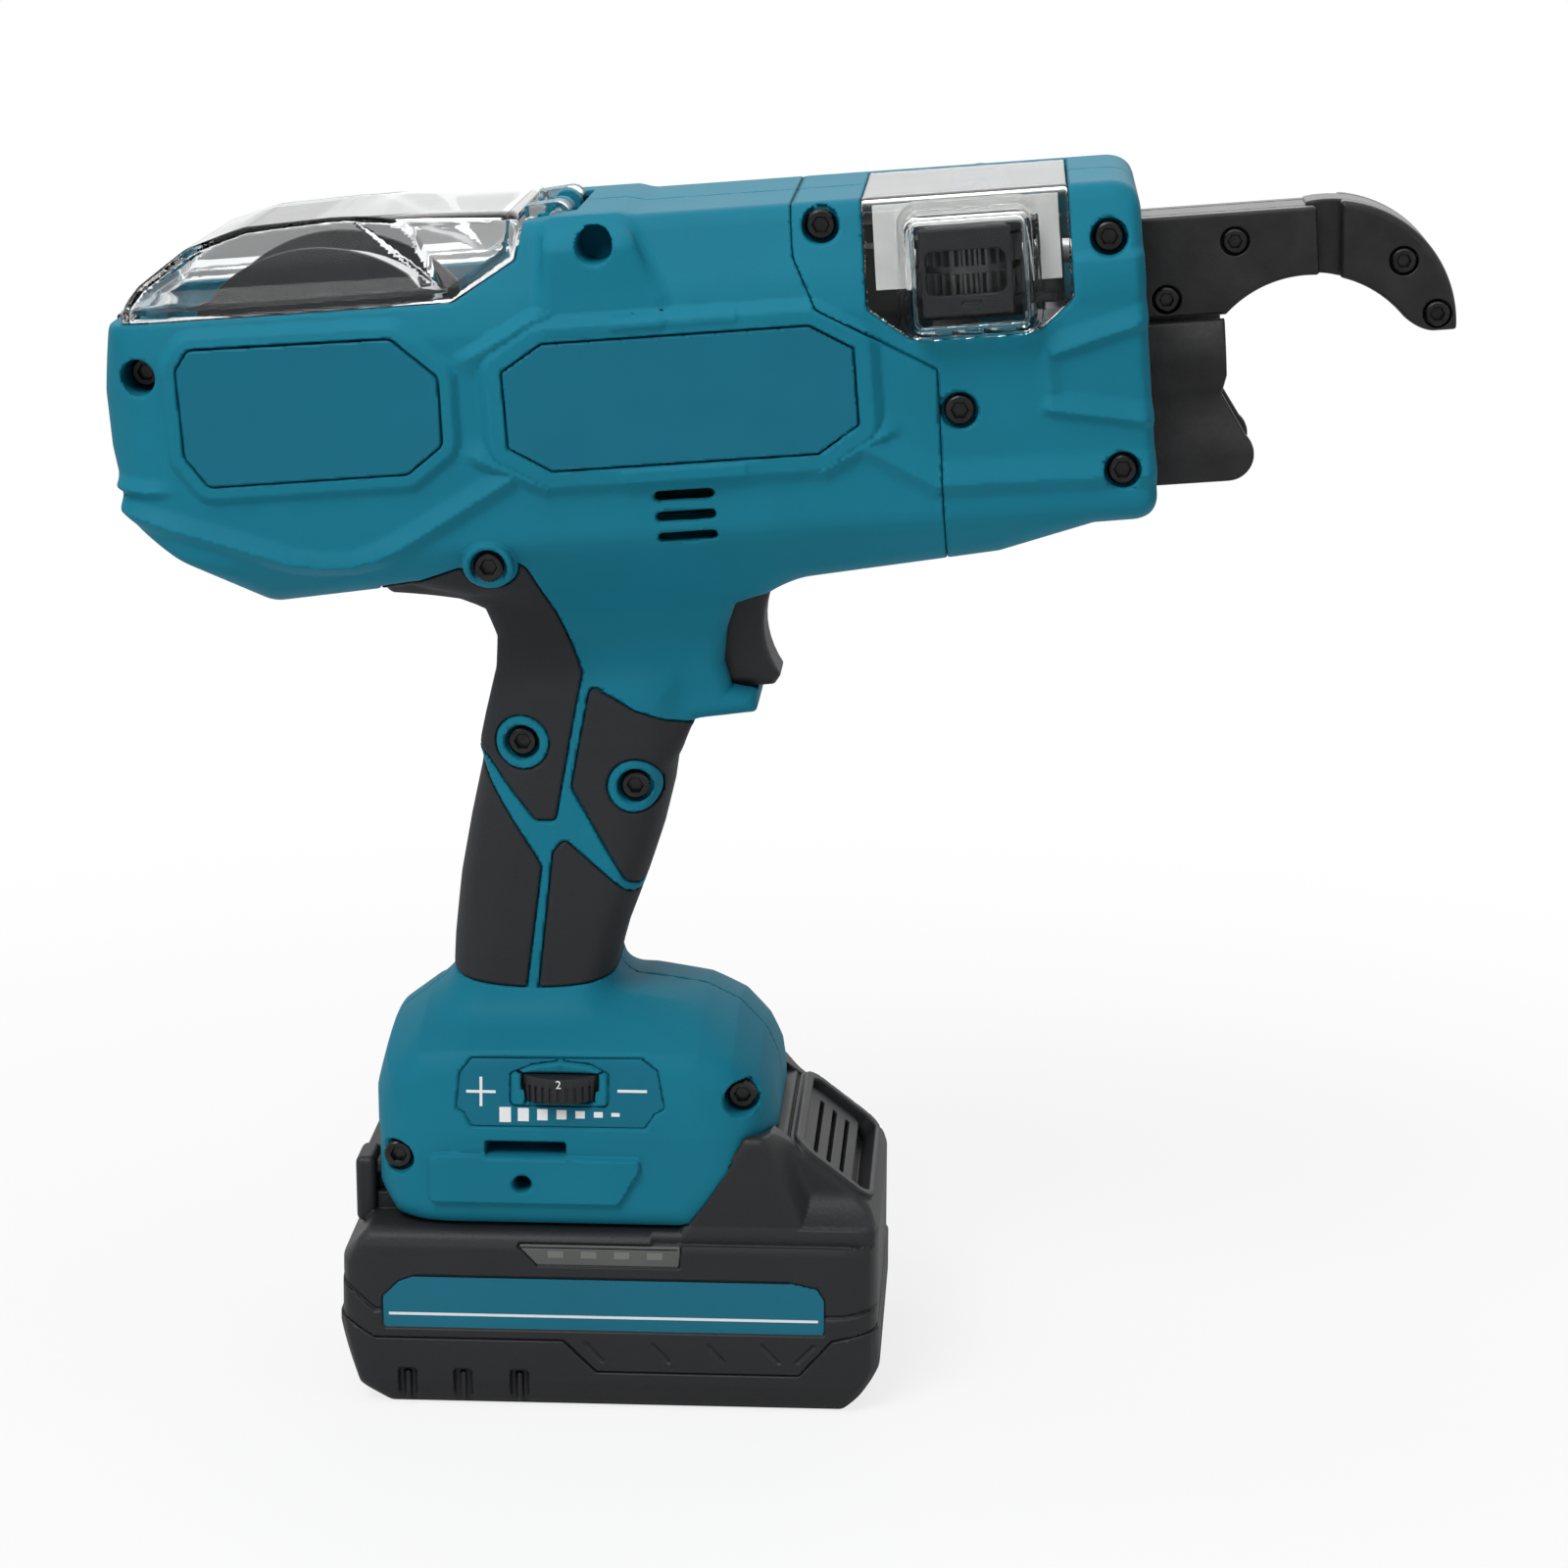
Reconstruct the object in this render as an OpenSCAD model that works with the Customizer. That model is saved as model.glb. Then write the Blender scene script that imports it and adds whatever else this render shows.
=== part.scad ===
// Cordless rebar tying tool: pistol grip, wire spool bay, feed head, curl arm and slide battery.
// Lengths in millimetres. The origin is under the battery foot, the nose points to +X and +Z is up.
// The barrel has its own frame, raised by barrel_lift and tilted nose up by barrel_pitch.

/* [Barrel] */
// Nose-up tilt of the barrel against the battery foot, degrees
barrel_pitch = 4.4; // [3.5:0.1:5.5]
// Height of the barrel datum over the floor
barrel_lift = 180; // [178:0.5:186]
// Height of the flat top over the barrel datum
barrel_h = 80; // [79:0.5:84]
// Width across the side faces
barrel_w = 76; // [74:1:84]
// Width of the flat top
top_w = 56; // [52:1:60]
// Width of the flat underside
under_w = 40; // [34:1:46]
// Nose face, forward of the barrel datum
nose_x = 118; // [117:0.5:124]
// Tail, behind the barrel datum
tail_x = 102; // [101:0.5:108]
// Wall of the plastic housings
wall = 2.6; // [2.2:0.1:3]
// Height where the side faces start to lean in
shoulder_z = 57; // [54:1:60]

/* [Grip and base] */
// Width of the grip
grip_w = 36; // [34:1:40]
// Width of the neck that holds the trigger
neck_w = 30; // [28:1:34]
// Thickness of the rubber grip pads
rubber_t = 1.2; // [0.8:0.1:1.5]
// Width of the base above the battery
base_w = 69; // [66:1:74]
// Front face of the base
base_front = 38; // [36:0.5:42]
// Rear face of the base, behind the datum
base_rear = 52.5; // [50:0.5:56]
// Roof of the battery channel over the floor
channel_z = 60; // [58:0.5:61]
// Width of the battery channel
channel_w = 44.8; // [42:0.2:48]

/* [Rear cover and spool] */
// Height of the cover's lower edge in the barrel frame
cover_z = 64.5; // [63:0.5:66]
// Rise of the clear cover over the flat top
cover_rise = 3; // [2:0.5:5]
// Wall of the clear cover
cover_wall = 1.8; // [1.4:0.1:2.4]
// Radius of the cover's hinge pin
hinge_r = 1.25; // [1:0.05:1.5]
// Radius of the spool's flanges
spool_r = 32.6; // [30:0.2:33]
// Width of the spool over its flanges
spool_w = 34; // [30:1:38]
// Thickness of a spool flange
flange_t = 2; // [1.6:0.1:2.6]
// Radius of the spool's bore
spool_bore = 8; // [6:0.5:9]
// Radius of the wound wire
wound_r = 28.6; // [24:0.2:29]
// Diameter of the tie wire
wire_d = 0.8; // [0.6:0.05:1]
// Turns in the outer layer of wire
wire_turns = 18; // [12:1:20]

/* [Twist drive] */
// Height of the twist axis in the barrel frame
twist_z = 30.5; // [30:0.5:31]
// Diameter of the twist motor
motor_d = 37; // [34:0.5:37.5]
// Length of the twist motor can
motor_l = 55; // [48:1:56]
// Gear module of the planet stage
stage_m = 0.8; // [0.7:0.05:0.8]
// Teeth of the motor pinion
sun_n = 12; // [12:3:15]
// Teeth of a planet gear
planet_n = 15; // [15:3:18]
// Radius of the twist shaft
shaft_r = 6; // [5:0.25:6.5]
// Outer radius of the sliding sleeve
sleeve_r = 10; // [9:0.25:10.5]

/* [Wire feed] */
// Teeth of a feed gear
feed_n = 32; // [28:2:32]
// Gear module of the feed gears
feed_m = 0.7; // [0.6:0.05:0.7]
// Forward place of the feed gears in the barrel frame
feed_x = 82; // [80:0.5:84]
// Height of the wire groove in the barrel frame
feed_z = 64; // [63:0.5:65]
// Height of a feed gear
feed_h = 12; // [10:0.5:12.5]
// Wall of the clear feed window
window_t = 1.8; // [1.4:0.1:2.4]
// Outer face of the window's box, from the middle
bubble_y = 43.5; // [42:0.5:46]

/* [Arm and guide] */
// Width over the arm's cheeks
arm_w = 19; // [17:0.5:22]
// Thickness of one arm cheek
cheek_t = 4; // [3:0.25:5]
// Radius of the wire loop inside the arm
loop_r = 24.3; // [22:0.1:25]
// Forward place of the loop's centre in the barrel frame
loop_x = 151.3; // [149:0.1:156]
// Top of the arm in the barrel frame
arm_top = 69; // [67:0.5:70]
// Sheet thickness of the lower guide
guide_t = 2.2; // [1.6:0.1:2.4]

/* [Controls] */
// Width of the trigger
trigger_w = 18; // [15:0.5:20]
// Radius of the torque dial
dial_r = 10; // [8.5:0.25:10.5]
// Height of the torque dial
dial_h = 5.6; // [4:0.2:6]
// Radius of the spool lock knob
knob_r = 11; // [10:0.5:13]

/* [Battery] */
// Rear end of the battery, behind the datum
cell_rear = 59; // [58:0.5:64]
// Front end of the battery
cell_front = 59.8; // [58:0.2:64]
// Width of the battery
cell_w = 73; // [72:1:80]
// Height of the deck that the base sits on
deck_z = 40.6; // [40:0.2:41]
// Height of the split between the battery's two cases
split_z = 16.5; // [14:0.5:19]
// Wall of the battery cases
cell_wall = 2.2; // [1.8:0.1:2.6]
// Diameter of one cell
cell_d = 18.3; // [17:0.1:18.6]
// Length of one cell
cell_l = 65; // [60:0.5:66]

/* [Fasteners and fits] */
// Radius of the screws' thread
screw_r = 1.5; // [1.2:0.1:1.6]
// Radius of the screws' heads
head_r = 2.75; // [2.4:0.05:3]
// Radius of the screw wells in the housings
well_r = 3.85; // [3.4:0.05:4.2]
// Radius of the belt hook thread in the base
hook_r = 2; // [1.5:0.1:2.5]
// Gap between pieces that slide past each other
slide_gap = 0.4; // [0.3:0.05:0.5]
// Radial play of a running shaft
run_gap = 0.05; // [0.03:0.01:0.08]
// Thickness of the bare label plates
label_t = 0.8; // [0.5:0.1:1]

/* [Hidden] */
$fn = 48;
arc_steps = 4;
reach = 300;
half_w = barrel_w / 2;
clear = 0.05;

TEAL = "#1f8197";
PLATE = "#1d6a80";
CLEAR = "#dfe8ea60";
BLACK = "#26282a";
RUBBER = "#36383b";
STEEL = "#b9bcbf";
DARK = "#3a3b3d";
BRASS = "#c9a452";

// Outline helpers. An outline is a list of [x, z, corner radius], anticlockwise.
function xy(p) = [p.x, p.y];
function unit(a, b) = (b - a) / norm(b - a);
function left_of(v) = [-v.y, v.x];
function before(pts, i) = xy(pts[(i + len(pts) - 1) % len(pts)]);
function after(pts, i) = xy(pts[(i + 1) % len(pts)]);

// The outline moved inwards by t
function inset(pts, t) = [
    for (i = [0 : len(pts) - 1])
        let (
            p = xy(pts[i]),
            u = unit(before(pts, i), p),
            w = unit(p, after(pts, i)),
            shift = (left_of(u) + left_of(w)) / (1 + left_of(u) * left_of(w)),
            outward = u.x * w.y - u.y * w.x > 0,
            r = pts[i].z == 0 ? 0 : pts[i].z + (outward ? -t : t)
        )
        [p.x + t * shift.x, p.y + t * shift.y, max(0, r)]
];

// Points of the arc that rounds the corner p between a and b
function corner(a, p, b, r) =
    let (
        u = unit(p, a),
        w = unit(p, b),
        half = acos(max(-1, min(1, u * w))) / 2,
        c = p + (u + w) / norm(u + w) * r / sin(half),
        s = p + u * r / tan(half) - c,
        e = p + w * r / tan(half) - c,
        turn = atan2(e.y, e.x) - atan2(s.y, s.x),
        sweep = turn > 180 ? turn - 360 : turn < -180 ? turn + 360 : turn
    )
    arc(c.x, c.y, r, atan2(s.y, s.x), atan2(s.y, s.x) + sweep, arc_steps);

function arc(cx, cz, r, from, to, steps) = [
    for (k = [0 : steps])
        let (a = from + (to - from) * k / steps)
        [cx + r * cos(a), cz + r * sin(a)]
];

function rounded(pts) = [
    for (i = [0 : len(pts) - 1])
        each (pts[i].z > 0
            ? corner(before(pts, i), xy(pts[i]), after(pts, i), pts[i].z)
            : [xy(pts[i])])
];

function mirrored(pts) = [for (i = [len(pts) - 1 : -1 : 0]) [-pts[i].x, pts[i].y, pts[i].z]];
function both_sides(pts) = concat(pts, mirrored(pts));
function rect(x0, x1, y0, y1, r) = [[x1, y0, r], [x1, y1, r], [x0, y1, r], [x0, y0, r]];

// Solids from outlines
module side_prism(pts, w) {
    rotate([90, 0, 0]) linear_extrude(w, center = true) polygon(pts);
}
module slab(pts, y0, y1) {
    translate([0, y1, 0]) rotate([90, 0, 0]) linear_extrude(y1 - y0) polygon(pts);
}
module section_prism(pts, x0, x1) {
    translate([x0, 0, 0]) rotate([90, 0, 90]) linear_extrude(x1 - x0) polygon(pts);
}
module plan_prism(pts, z0, z1) {
    translate([0, 0, z0]) linear_extrude(z1 - z0) polygon(pts);
}
module pin_x(y, z, r, x0, x1) {
    translate([x0, y, z]) rotate([0, 90, 0]) cylinder(r = r, h = x1 - x0);
}
module pin_y(x, z, r, y0, y1) {
    translate([x, y1, z]) rotate([90, 0, 0]) cylinder(r = r, h = y1 - y0);
}
module pin_z(x, y, r, z0, z1) {
    translate([x, y, z0]) cylinder(r = r, h = z1 - z0);
}
module block(x0, x1, y0, y1, z0, z1) {
    translate([x0, y0, z0]) cube([x1 - x0, y1 - y0, z1 - z0]);
}
module in_barrel() {
    translate([0, 0, barrel_lift]) rotate([0, -barrel_pitch, 0]) children();
}
// One half of the tool: side -1 is the right hand side, +1 the left
module half_of(side) {
    intersection() {
        children();
        translate([-reach, side < 0 ? -reach : 0, -reach]) cube([2 * reach, reach, 3 * reach]);
    }
}
// A wall of thickness t with a Y-facing side: pins run from y0 to y1 measured outwards from the middle
module side_pin(side, x, z, r, y0, y1) {
    if (side < 0) pin_y(x, z, r, -y1, -y0);
    else pin_y(x, z, r, y0, y1);
}
module side_slab(side, pts, y0, y1) {
    if (side < 0) slab(pts, -y1, -y0);
    else slab(pts, y0, y1);
}

// Outer forms of the barrel, in its own frame
nose_low = 9.5;
tail_low = 2.5;
barrel_side = [
    [nose_x, nose_low, 4], [nose_x, barrel_h, 8], [24 - tail_x, barrel_h, 12], [4 - tail_x, cover_z, 4],
    [-tail_x, cover_z - 14, 12], [-tail_x, cover_z - 26, 16], [4 - tail_x, 23, 8], [32 - tail_x,
        tail_low, 12],
    [-40, 4.5, 10], [-28, 0, 6], [34, -1, 0], [nose_x - 34, 3.5, 12], [nose_x - 14, nose_low - 0.2, 12]
];
top_over = 1;
barrel_section = both_sides([
    [under_w / 2, -4, 6], [half_w, 14, 8], [half_w, shoulder_z, 10], [top_w / 2, barrel_h + top_over, 4]
]);
barrel_plan = [
    [nose_x + top_over, -half_w - top_over, 6], [nose_x + top_over, half_w + top_over, 6],
    [-tail_x - 0.5, half_w + top_over, 20], [-tail_x - 0.5, -half_w - top_over, 20]
];
// Half width of the leaning upper side face at height z
function lean_y(z) = half_w - (z - shoulder_z) / (barrel_h + top_over - shoulder_z) * (half_w - top_w / 2);

module barrel_solid(t) {
    intersection() {
        side_prism(rounded(inset(barrel_side, t)), barrel_w + 20);
        section_prism(rounded(inset(barrel_section, t)), -tail_x - 5, nose_x + 5);
        plan_prism(rounded(inset(barrel_plan, t)), -20, barrel_h + 20);
    }
}

// Seam between the main housing and the head
seam_top = 46;
seam_low = 74;
head_region = [
    [seam_low - 1.5, -20], [nose_x + 20, -20], [nose_x + 20, barrel_h + 20], [seam_top, barrel_h + 20],
    [seam_top, 68], [seam_top + 4, 58.3], [seam_low, 44.5], [seam_low, 40]
];
// What the clear cover takes out of the barrel
cover_front = -9.5;
cover_region = [
    [-tail_x - 20, cover_z, 0], [-24.5, cover_z, 4], [-11, cover_z + 7.5, 3], [cover_front,
        cover_z + 13.5, 0],
    [cover_front, barrel_h + 20, 0], [-tail_x - 20, barrel_h + 20, 0]
];
cover_gap = 0.4;

// Grip, neck and base, in the tool's frame
grip_lean = 12;
grip_foot = [-19, 86];
grip_depth = 45;
grip_side = [
    [-2, 84, 0], [10.5, 122, 60], [15.5, 150, 0], [15.5, 160, 0], [-24, 160, 0], [-34, 116, 80], [-35.6,
        84, 0]
];
module grip_solid(t) {
    intersection() {
        side_prism(rounded(inset(grip_side, t)), grip_w + 20);
        translate([grip_foot.x, 0, grip_foot.y]) rotate([0, grip_lean, 0])
            plan_prism(rounded(inset(rect(-grip_depth / 2, grip_depth / 2, -grip_w / 2, grip_w / 2, 15),
                t)), -12, 90);
    }
}
neck_side = [
    [14, 143, 0], [19, 150.5, 4], [32, 152, 2], [32, 156.8, 2], [26, 157.5, 3], [24.4, 166, 8], [27,
        176.5, 6],
    [40, 181.5, 0], [40, 190, 0], [-46, 186, 0], [-46, 177.2, 0], [-30, 177, 4], [-24, 169, 8], [-25,
        156, 30],
    [-28, 143, 0]
];
module neck_solid(t) {
    side_prism(rounded(inset(neck_side, t)), neck_w - 2 * t);
}
base_low = deck_z + 0.4;
base_side = [
    [19, base_low, 0], [base_front - 11, 49.4, 6], [base_front, 54.8, 3], [base_front, 74, 14], [31, 90.5, 9],
    [4, 92.6, 6], [-30, 91.6, 6], [8 - base_rear, 86.5, 8], [-base_rear, 74, 12], [-base_rear, 47, 6],
        [6 - base_rear, base_low, 4]
];
base_section = both_sides([[base_w / 2, 30, 0], [base_w / 2, 62, 10], [base_w / 2 - 5, 80, 10], [17, 99, 6]]);
base_plan = rect(-base_rear - 0.5, base_front + 0.5, -base_w / 2 - 0.5, base_w / 2 + 0.5, 17);
module base_solid(t) {
    intersection() {
        side_prism(rounded(inset(base_side, t)), base_w + 20);
        section_prism(rounded(inset(base_section, t)), -70, 60);
        plan_prism(rounded(inset(base_plan, t)), 20, 110);
    }
}
base_floor = channel_z + wall;

// Places of the screws, [x, z, depth of the well] in the barrel frame or in the tool's frame
near = 3.6;
deep = 13;
clamp_screws = [[5.8, barrel_h - 5.7, deep], [-91, 53.8, deep], [-21.9, 9.5, near]];
head_clamp_screws = [[52, barrel_h - 5.3, near]];
frame_screws = [[nose_x - 7.5, 21.3, near], [nose_x - 7.5, barrel_h - 11.5, near], [78, 35.8, near]];
function grip_axis(z) = grip_foot.x + (z - grip_foot.y) * tan(grip_lean);
grip_screws_at = [
    [grip_axis(145.7) - 0.2687 * grip_depth, 145.7, near], [grip_axis(136.3) + 0.3136 * grip_depth,
        136.3, near]
];
base_screws_at = [[-45.6, 55.5, 6], [29.4, 70, 8]];
hook_at = [-17.9, 51.3];
hook_pad = [[-38, 46.2, 2], [3.2, 47, 2], [7.5, 53.6, 2], [7, 56.4, 1], [-38, 56.4, 2]];
pad_rise = 1.6;
dial_at = [-9.6, base_w / 2 - 9.1];
dial_z = 70;
base_face = base_w / 2 - 2;
base_screw_l = 10.5;
dial_panel = [
    [-29, 63.4, 1], [8.8, 63.7, 1], [10.6, 66.8, 1], [13.2, 68.2, 1], [11.6, 76.6, 1.5], [8, 79.3, 1.5],
        [-29, 78.8, 1.5],
    [-31.8, 75.6, 1.5], [-31.8, 67, 1.5]
];
// Raised frame round the dial's opening, left standing in the panel's recess
bezel = [
    [-20.2, 68.6, 0.6], [0.6, 68.6, 0.6], [0.6, 75.6, 0.6], [-3, 77.4, 1], [-9.6, 78.2, 3], [-16.2, 77.4, 1],
    [-20.2, 75.6, 0.6]
];

// Bosses inside the housings: a slim post to the middle, and a collar round the well
post_r = screw_r + 1.1;
collar_r = well_r + 1.2;
seat_t = 2;
function barrel_face(s) = min(half_w, lean_y(s.y));
module screw_boss(side, s, inner, face) {
    side_pin(side, s.x, s.y, post_r, inner, face - 1);
    side_pin(side, s.x, s.y, collar_r, max(inner, face - s.z - seat_t), face - 0.8);
}
module screw_well(side, s, inner, face) {
    side_pin(side, s.x, s.y, screw_r + clear, inner, face + 5);
    side_pin(side, s.x, s.y, well_r, face - s.z, face + 8);
}
module clamp_hole(side, s, face) {
    if (side < 0) screw_well(side, s, -1, face);
    else side_pin(side, s.x, s.y, screw_r + clear, -1, thread_l);
}
thread_l = 10;

// Spool bay
spool_at = [-55.8, 43];
axle_out = spool_w / 2 + 0.4;
spool_boss_r = spool_bore + 5;
bay_wall_x = -21;

// Motor cradle ribs in the barrel
motor_x = -17;
cradles = [motor_x + 5, motor_x + motor_l - 8];
rib_t = 2.4;
module cradle_ribs() {
    for (x = cradles) difference() {
        intersection() {
            barrel_solid(wall - 0.4);
            block(x, x + rib_t, -half_w, half_w, -10, twist_z + motor_d / 2 - 1);
        }
        pin_x(0, twist_z, motor_d / 2 + clear, x - 1, x + rib_t + 1);
    }
}

module vents(side) {
    for (i = [0 : 2]) side_slab(side, rounded(rect(14, 26.4, 12.2 + 4.5 * i, 14.2 + 4.5 * i, 0.9)),
        half_w - 8, half_w + 4);
}

centre_plate = [
    [-6.4, 29.2, 0], [48.6, 29.2, 0], [57.2, 34.6, 0], [57.2, 50.2, 0], [48.6, 55.4, 0], [-6.4, 55.4, 0],
    [-15, 50.2, 0], [-15, 34.6, 0]
];
frame_rise = 1.2;
frame_rim = 6;
rear_plate = [
    [-78, 30.5, 4], [-36.5, 30.5, 3], [-28.8, 36, 3], [-28.4, 50, 3], [-37.5, 58.5, 3], [-79.5, 59, 3],
        [-82.4, 55, 3],
    [-82.4, 37, 4]
];
rear_rim = 3.2;

// Rear latch pocket
latch_half = 8;
latch_low = 45;
latch_x = 4.4 - tail_x;
latch_pin = [latch_x, 52];
pocket_x = 7.4 - tail_x;

hinge_at = [-3.4, barrel_h - 1];
knuckle_r = 3;
lug_in = 4.8;
lug_out = 9.5;
knuckle_out = 18;

module main_shell(side) {
    difference() {
        half_of(side) difference() {
            union() {
                in_barrel() difference() {
                    barrel_solid(0);
                    side_prism(head_region, barrel_w + 40);
                    side_prism(rounded(cover_region), barrel_w + 40);
                }
                neck_solid(0);
                grip_solid(0);
                base_solid(0);
            }
            in_barrel() barrel_solid(wall);
            neck_solid(wall);
            grip_solid(wall + rubber_t);
            intersection() {
                base_solid(wall);
                block(-reach, reach, -reach, reach, base_floor, reach);
            }
        }
        half_of(side) grip_pads_solid();
    }
}

module main_inner(side) {
    in_barrel() {
        half_of(side) cradle_ribs();
        half_of(side) intersection() {
            barrel_solid(wall - 0.4);
            block(bay_wall_x, bay_wall_x + wall, -half_w, half_w, -10, cover_z - 7);
        }
        half_of(side) intersection() {
            barrel_solid(wall - 0.4);
            block(cover_front + 0.6, cover_front + wall, -half_w, half_w, cover_z - 6, barrel_h - 3.4);
        }
        side_slab(side, [
            [hinge_at.x - knuckle_r - 2, hinge_at.y - 9], [hinge_at.x + knuckle_r, hinge_at.y - 9],
            [hinge_at.x + knuckle_r, hinge_at.y], [hinge_at.x - knuckle_r, hinge_at.y]
        ], lug_in, lug_out);
        side_pin(side, hinge_at.x, hinge_at.y, knuckle_r, lug_in, lug_out);
        for (s = clamp_screws) screw_boss(side, s, 0, barrel_face(s));
        side_pin(side, spool_at.x, spool_at.y, spool_boss_r, side < 0 ? axle_out + 6 : axle_out + 5,
            half_w - 1);
        half_of(side) difference() {
            intersection() {
                barrel_solid(wall - 0.4);
                block(-tail_x, pocket_x + 2, -latch_half - 2.4, latch_half + 2.4, latch_low - 2.4,
                    cover_z - 1);
            }
        }
    }
    for (s = grip_screws_at) screw_boss(side, s, 0, grip_w / 2 - rubber_t);
    for (s = base_screws_at) if (s.y > base_floor) screw_boss(side, s, 0, base_face);
    side_slab(side, rounded(hook_pad), base_w / 2 - 2, base_w / 2 + pad_rise);
    in_barrel() {
        difference() {
            side_slab(side, [for (p = inset(centre_plate, -frame_rim)) xy(p)], half_w - 1,
                half_w + frame_rise);
            side_prism(head_region, barrel_w + 40);
        }
        side_slab(side, rounded(inset(rear_plate, -rear_rim)), half_w - 2.5, half_w + 0.6);
    }
}

rail_z = [45, 48.2];
rail_in = 3;
module channel() {
    difference() {
        block(-reach, reach, -channel_w / 2, channel_w / 2, 0, channel_z);
        for (s = [-1, 1]) block(-base_rear + 3, base_front - 3, s > 0
            ? channel_w / 2 - rail_in : -channel_w / 2,
            s > 0 ? channel_w / 2 : rail_in - channel_w / 2, rail_z[0], rail_z[1]);
    }
}
hook_slot = rect(-25.6, -8.4, 57.8, 61, 0.6);

module main_cuts(side) {
    channel();
    in_barrel() {
        vents(side);
        side_slab(side, [for (p = centre_plate) xy(p)], half_w + frame_rise - label_t, half_w + 9);
        side_slab(side, rounded(rear_plate), half_w + 0.6 - label_t, half_w + 9);
        for (s = clamp_screws) clamp_hole(side, s, barrel_face(s));
        pin_y(spool_at.x, spool_at.y, spool_bore + (side < 0 ? clear : run_gap), side < 0
            ? -axle_out - 12 : 0, side < 0 ? 0 : 60);
        block(-tail_x - 9, pocket_x, -latch_half - slide_gap, latch_half + slide_gap,
            latch_low - slide_gap, cover_z + 9);
        pin_y(latch_pin.x, latch_pin.y, latch_pin_r + clear, -latch_half - 1.6, latch_half + 1.6);
        pin_y(hinge_at.x, hinge_at.y, hinge_r + clear, -knuckle_out - 4, knuckle_out + 4);
        difference() {
            block(cover_front - 1.2, hinge_at.x + knuckle_r + 1.2, -knuckle_out - 1, knuckle_out + 1,
                hinge_at.y - knuckle_r - 1, reach);
            slab([
                [hinge_at.x - knuckle_r - 2, hinge_at.y - 9], [hinge_at.x + knuckle_r, hinge_at.y - 9],
                [hinge_at.x + knuckle_r, hinge_at.y], [hinge_at.x - knuckle_r, hinge_at.y]
            ], -lug_out, lug_out);
            pin_y(hinge_at.x, hinge_at.y, knuckle_r, -lug_out, lug_out);
        }
        block(hinge_at.x - knuckle_r - 3, hinge_at.x + knuckle_r + 3, -lug_in, lug_in, hinge_at.y - 6, reach);
        block(trigger_back - trigger_travel - 2, 60, -trigger_w / 2 - slide_gap,
            trigger_w / 2 + slide_gap, -26.5, -2.6);
    }
    for (s = grip_screws_at) clamp_hole(side, s, grip_w / 2);
    for (s = base_screws_at) {
        if (s.y > base_floor) clamp_hole(side, s, base_face);
        else screw_well(side, s, base_face - base_screw_l, base_face);
    }
    side_slab(side, rounded(hook_slot), base_w / 2 - 7, base_w / 2 + 5);
    side_pin(side, hook_at.x, hook_at.y, hook_r, base_w / 2 - 9, base_w / 2 + 5);
    if (side < 0) {
        difference() {
            slab(rounded(dial_panel), -base_w, 0);
            base_solid(label_t);
            slab(rounded(bezel), -base_w, 0);
        }
        pin_z(dial_at.x, -dial_at.y, dial_r + slide_gap, dial_z - slide_gap, dial_z + dial_h + slide_gap);
    }
}

module main_housing(side) {
    color(TEAL) difference() {
        union() {
            main_shell(side);
            main_inner(side);
        }
        main_cuts(side);
    }
}

module head_housing(side) {
    color(TEAL) in_barrel() difference() {
        union() {
            half_of(side) intersection() {
                difference() {
                    barrel_solid(0);
                    barrel_solid(wall);
                }
                side_prism(head_region, barrel_w + 40);
            }
            for (s = head_clamp_screws) screw_boss(side, s, 0, barrel_face(s));
            intersection() {
                union() {
                    for (s = frame_screws) screw_boss(side, s, frame_half, barrel_face(s));
                }
                side_prism(head_region, barrel_w + 40);
            }
            if (side > 0) pin_y(clutch_at.x, clutch_at.y, clutch_cap_r, clutch_guide_y - 9, clutch_guide_y);
        }
        for (s = head_clamp_screws) clamp_hole(side, s, barrel_face(s));
        for (s = frame_screws) screw_well(side, s, frame_half - 1, barrel_face(s));
        window_hole();
        block(nose_x - wall - 2, nose_x + 9, -mouth_half, mouth_half, mouth_low, arm_top + slide_gap);
        if (side > 0) {
            pin_y(clutch_at.x, clutch_at.y, clutch_rod_r + run_gap, 0, 60);
            pin_y(clutch_at.x, clutch_at.y, clutch_cap_r + 0.2, clutch_guide_y, 60);
        }
    }
}

// Clear cover over the spool
cover_top = barrel_h + cover_rise;
cover_side = [
    [cover_front, cover_z - 4, 0], [cover_front, cover_top - 1.5, 0], [-30, cover_top - 0.5, 0],
        [40 - tail_x, cover_top, 30],
    [15 - tail_x, cover_top - 8, 12], [2 - tail_x, cover_z - 4, 0]
];
cover_section = both_sides([[half_w, shoulder_z, 0], [lean_y(cover_top), cover_top + 0.5, 12]]);
cover_plan = [
    [cover_front + 5, -half_w, 0], [cover_front + 5, half_w, 0], [-tail_x - 0.5, half_w, 22],
        [-tail_x - 0.5, -half_w, 22]
];
module cover_solid(t) {
    intersection() {
        side_prism(rounded(inset(cover_side, t)), barrel_w + 20);
        section_prism(rounded(inset(cover_section, t)), -tail_x - 9, 9);
        plan_prism(rounded(inset(cover_plan, t)), 40, 120);
    }
}
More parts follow.
